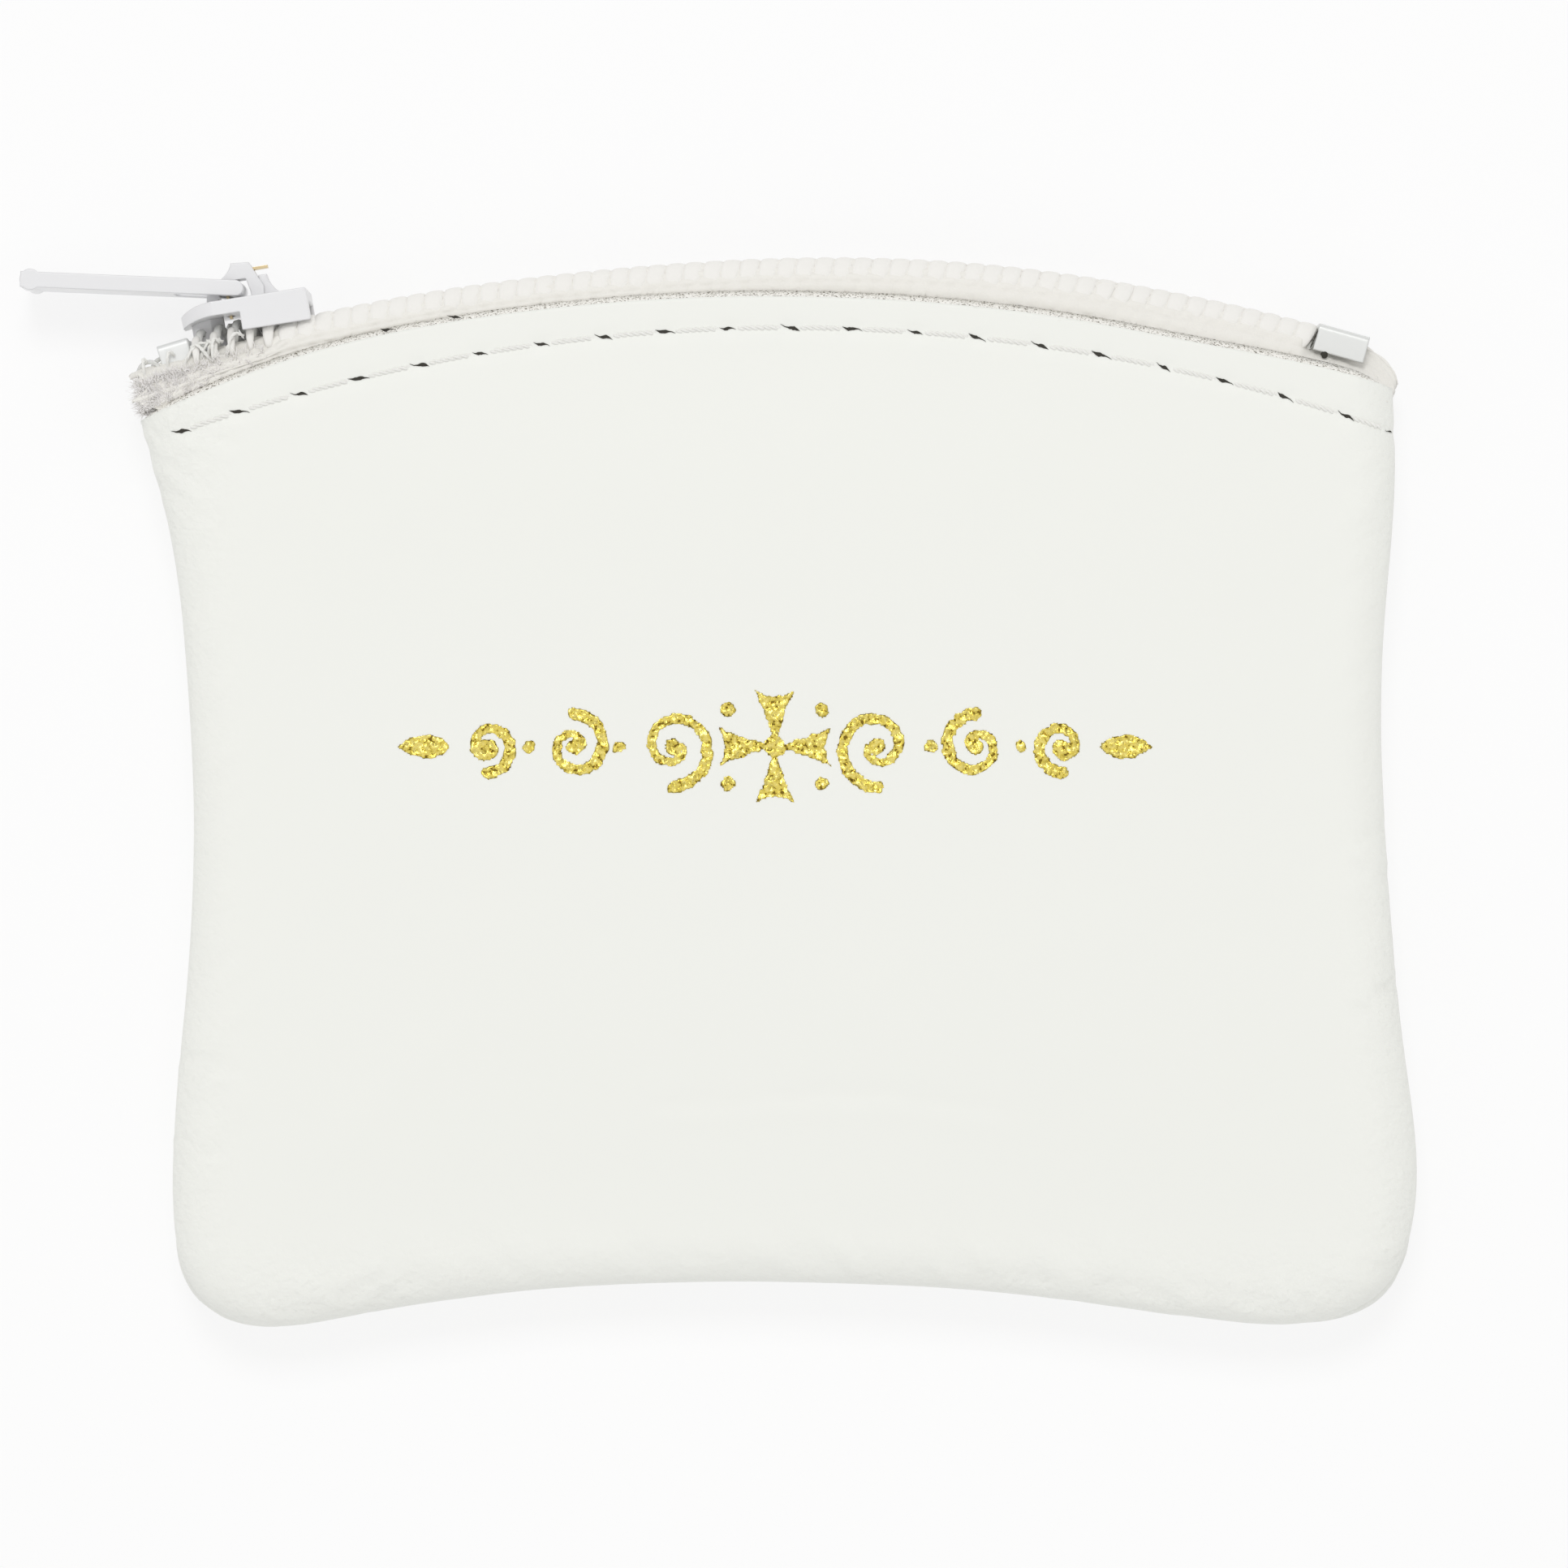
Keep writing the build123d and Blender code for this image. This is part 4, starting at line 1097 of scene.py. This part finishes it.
def ornament(x, y):
    """Distance to the ornament's edge, negative inside. The ornament is the same left and right."""
    x = np.abs(x)
    inside = np.hypot(x, y) - CROSS_HEART
    for long, wide in ((np.abs(y), x), (x, np.abs(y))):
        share = long / CROSS_REACH
        width = (CROSS_FLARE[0] + CROSS_FLARE[1] * share) * share
        end = CROSS_REACH * (CROSS_END + (1 - CROSS_END) * (wide / sum(CROSS_FLARE)) ** 2)
        inside = np.minimum(inside, np.maximum(0.85 * (wide - width), long - end))
    for bead_x, bead_y, radius in BEADS:
        inside = np.minimum(inside, np.hypot(x - bead_x, np.abs(y) - bead_y) - radius)
    for number, (middle, radius) in enumerate(SCROLLS):
        way = 1 if number % 2 else -1
        inside = np.minimum(inside, np.hypot(x - middle, y) - SCROLL_EYE)
        for share in np.linspace(0, 1, 70):
            half = SCROLL_STROKE * (1 - 0.5 * share) / 2
            reach = radius * (1 - SCROLL_CLOSES * share) - half
            angle = math.pi * way * (0.5 + SCROLL_TURNS * 2 * share)
            far = np.hypot(x - middle - reach * math.cos(angle), y - reach * math.sin(angle))
            inside = np.minimum(inside, far - half)
    start, length, half, widest = LEAF
    share = (x - start) / length
    before = (share / widest) * (2 - share / widest)
    after = 1 - ((share - widest) / (1 - widest)) ** 2
    edge = half * np.where(share < widest, before, after)
    return np.minimum(inside, np.abs(y) - edge)


def foil_ornament(material):
    """The ornament as thin foil with the ragged edge that grained leather gives it."""
    x = np.arange(-FOIL_HALF_X, FOIL_HALF_X, FOIL_CELL)
    y = np.arange(-FOIL_HALF_Y, FOIL_HALF_Y, FOIL_CELL)
    grid_y, grid_x = np.meshgrid(y, x, indexing="ij")
    ragged = 0.08 * noise(grid_x, grid_y, 0.38, 51) + 0.06 * noise(grid_x, grid_y, 0.2, 52)
    field = ornament(grid_x, grid_y) + ragged
    bare = noise(grid_x, grid_y, 0.3, 53) + 0.5 * noise(grid_x, grid_y, 3.0, 54) - 1.12
    field = np.maximum(field, 0.3 * bare)
    slope_y, slope_x = np.gradient(field, FOIL_CELL)
    steep = np.maximum(slope_x ** 2 + slope_y ** 2, 0.2)
    step = np.clip(field, -0.5 * FOIL_CELL, 0.5 * FOIL_CELL)
    near = np.abs(field) < 0.55 * FOIL_CELL
    snapped_x = grid_x - np.where(near, step * slope_x / steep, 0)
    snapped_y = grid_y - np.where(near, step * slope_y / steep, 0)
    corners = np.stack([field[:-1, :-1], field[:-1, 1:], field[1:, 1:], field[1:, :-1]])
    kept = corners.mean(axis=0) < 0
    faces = grid_faces(*field.shape)[kept.ravel()]
    used = np.unique(faces)
    renumber = np.zeros(field.size, int)
    renumber[used] = np.arange(len(used))
    faces = renumber[faces]
    flat_x, flat_y = snapped_x.ravel()[used] + FOIL_X, snapped_y.ravel()[used] + FOIL_Y
    pebble = 0.02 * noise(flat_x, flat_y, 0.4, 55)
    points = np.column_stack([flat_x, flat_y, front_rise(flat_x, flat_y) + FOIL_LIFT + pebble])
    points, faces, _ = shell(points, faces, FOIL_THICK)
    piece = make("foil_ornament_soft", points, faces, [material])
    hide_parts("foil_ornament")
    gape(piece)


# ---- CAD nodes that stay ------------------------------------------------------------------

def finish_node(name, material):
    """Give a CAD node its material."""
    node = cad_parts[name]
    node.data.materials.clear()
    node.data.materials.append(material)


# Painted shade on the bottom stop: a dark patch in its punch mark and a dark line along its end.
DIMPLE_AT = (37.75, 32.45)
DIMPLE_RADIUS = 0.24
DIMPLE_RISE = 2.27         # just over the bottom stop's face
DIMPLE_SIDES = 14
END_LINE_FROM = (37.32, 34.25)
END_LINE_RUN = (-0.6, -1.35)
END_LINE_HALF = 0.06
END_LINE_RISE = 2.32
END_LINE_POINTS = 9


def stop_dimple(material):
    """Painted shade on the bottom stop: a dark patch in its punch mark and a dark line along its end."""
    rng = np.random.default_rng(61)
    turn = np.linspace(0, 2 * math.pi, DIMPLE_SIDES, endpoint=False)
    radius = DIMPLE_RADIUS * rng.uniform(0.8, 1.2, DIMPLE_SIDES)
    x = DIMPLE_AT[0] + radius * np.cos(turn)
    y = DIMPLE_AT[1] + radius * np.sin(turn)
    edge = np.column_stack([x, y, np.full(DIMPLE_SIDES, DIMPLE_RISE)])
    points = np.concatenate([edge, [[*DIMPLE_AT, DIMPLE_RISE + 0.01]]])
    faces = [(k, (k + 1) % DIMPLE_SIDES, DIMPLE_SIDES) for k in range(DIMPLE_SIDES)]
    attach(make("bottom_stop_dimple_shade", points, faces, [material]), "back")
    count = END_LINE_POINTS
    share = np.linspace(0, 1, count)
    x = END_LINE_FROM[0] + END_LINE_RUN[0] * share
    y = END_LINE_FROM[1] + END_LINE_RUN[1] * share
    wide = END_LINE_HALF * np.sin(math.pi * share) ** 0.5 * rng.uniform(0.6, 1.4, count)
    rise = np.full(count, END_LINE_RISE)
    points = np.concatenate([np.column_stack([x + wide, y, rise]), np.column_stack([x - wide, y, rise])])
    faces = [(k + 1, k, k + count, k + count + 1) for k in range(count - 1)]
    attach(make("bottom_stop_end_shade", points, faces, [material]), "back")


# ---- stage, light and camera --------------------------------------------------------------

SKY_LOW = 0.62             # brightness at the horizon and overhead
SKY_HIGH = 1.06
CAMERA_AT = (-0.66, 1.96)
CAMERA_UP = 500.0          # over the front face
FRAMED = 111.1
SENSOR = 36.0
FLOOR_HALF = 3000.0
FLOOR_GLOW = 0.725


def stage():
    """A plain pale floor."""
    mesh = bpy.data.meshes.new("floor")
    far = FLOOR_HALF * MM
    mesh.from_pydata([(-far, -far, 0), (far, -far, 0), (far, far, 0), (-far, far, 0)], [], [(0, 1, 2, 3)])
    floor = placed("floor", mesh)
    material = bpy.data.materials.new("floor_paper")
    material.use_nodes = True
    shader = material.node_tree.nodes["Principled BSDF"]
    shader.inputs["Base Color"].default_value = (0.25, 0.25, 0.25, 1)
    shader.inputs["Roughness"].default_value = 0.9
    shader.inputs["Specular IOR Level"].default_value = 0.0
    shader.inputs["Emission Color"].default_value = (1, 1, 1, 1)
    shader.inputs["Emission Strength"].default_value = FLOOR_GLOW
    mesh.materials.append(material)


def sky():
    """Soft white light from all round, with a few darker gaps for the metal to mirror."""
    world = bpy.data.worlds.new("studio")
    bpy.context.scene.world = world
    world.use_nodes = True
    nodes, links = world.node_tree.nodes, world.node_tree.links
    background = nodes["Background"]
    where = nodes.new("ShaderNodeTexCoord")
    patches = nodes.new("ShaderNodeTexNoise")
    patches.inputs["Scale"].default_value = 2.6
    patches.inputs["Detail"].default_value = 1.0
    ramp = nodes.new("ShaderNodeValToRGB")
    ramp.color_ramp.elements[0].position = 0.36
    ramp.color_ramp.elements[0].color = (0.35, 0.34, 0.33, 1)
    ramp.color_ramp.elements[1].position = 0.5
    ramp.color_ramp.elements[1].color = (1, 1, 1, 1)
    links.new(where.outputs["Generated"], patches.inputs["Vector"])
    links.new(patches.outputs["Fac"], ramp.inputs["Fac"])
    links.new(ramp.outputs["Color"], background.inputs["Color"])
    height = nodes.new("ShaderNodeSeparateXYZ")
    links.new(where.outputs["Generated"], height.inputs[0])
    fall = nodes.new("ShaderNodeMapRange")
    fall.inputs["From Min"].default_value = 0.0
    fall.inputs["From Max"].default_value = 0.7
    fall.inputs["To Min"].default_value = SKY_LOW
    fall.inputs["To Max"].default_value = SKY_HIGH
    links.new(height.outputs["Z"], fall.inputs["Value"])
    links.new(fall.outputs["Result"], background.inputs["Strength"])


def lamp(name, place, size, power):
    """A square soft light that looks at the pouch; place and size are in metres."""
    light = bpy.data.lights.new(name, "AREA")
    light.shape = "SQUARE"
    light.size = size
    light.energy = power
    holder = placed(name, light)
    holder.location = place
    back = np.array(place, float)
    holder.rotation_euler = (
        math.acos(back[2] / np.linalg.norm(back)), 0, math.atan2(back[1], back[0]) + math.pi / 2,
    )


def camera():
    """Straight above the front face, +Y up in the picture."""
    data = bpy.data.cameras.new("camera")
    data.sensor_width = SENSOR
    data.lens = SENSOR * CAMERA_UP / FRAMED
    data.clip_start = 0.01
    holder = placed("camera", data)
    holder.location = (CAMERA_AT[0] * MM, CAMERA_AT[1] * MM, (THICKNESS + CAMERA_UP) * MM)
    bpy.context.scene.camera = holder
    bpy.context.scene.view_settings.view_transform = "Standard"


# ---- assembly -----------------------------------------------------------------------------

camera()
stage()
sky()
lamp("key", (-0.05, 0.5, 0.85), 0.3, 2.2)

thread = spun_thread("sewing_thread", (0.86, 0.858, 0.825))
weave = ((0.16, 2, 0.06, 0.5), (0.5, 2, 0.06, 0.4))
tape = soft("zip_tape_cloth", (0.835, 0.82, 0.775), 0.85, 0.2, 0.2, *weave)
nylon = clear_nylon()
white = plated("slider_enamel", (0.80, 0.80, 0.81), 0.28, 0.0, 0.16, 0.9)
# Near black: painted shade inside the needle holes and in the bottom stop's punch mark and end line.
hole_shade = soft("needle_hole_shade", (0.055, 0.052, 0.045), 1.0, 0.0, 0.0, (0.15, 2, 0.05, 0.5))
grain = grain_leather()
suede = soft("leather_suede", (0.80, 0.78, 0.73), 1.0, 0.1, 0.0, (0.25, 6, 0.12, 0.7))
panel_materials = [grain, suede, cut_leather()]

for side in ("front", "back"):
    leather_panel(side, panel_materials)
    needle_hole_shadows(side, hole_shade)
    topstitching(side, thread)
bobbin_thread(thread)
seam_thread(thread)
zip_tape(tape)
zip_coil(nylon)
zip_cord(thread)
zip_stitching(spun_thread("zip_stitching_thread", (0.86, 0.848, 0.815)))
frayed_end(soft("tape_fray", (0.985, 0.965, 0.95), 0.9, 0.1, 0.0))
cut_edge_fuzz(soft("suede_fibre", (0.92, 0.91, 0.87), 0.95, 0.1, 0.0, (0.2, 2, 0.02, 0.3)))
loose_turns(nylon, thread)
foil_ornament(gold_foil())

for name in ("slider_body", "slider_crown", "pull_tab"):
    finish_node(name, white)
finish_node("slider_lock_spring", plated("spring_brass", (0.74, 0.60, 0.36), 0.3, 0.9, 0.04))
stop_metal = plated("stop_nickel", (0.76, 0.77, 0.755), 0.35, 0.4, 0.2)
pale = plated("top_stop_metal", (0.80, 0.81, 0.80), 0.45, 0.4, 0.15)
finish_node("front_top_stop", pale)
finish_node("back_top_stop", pale)
finish_node("bottom_stop", stop_metal)
stop_dimple(hole_shade)
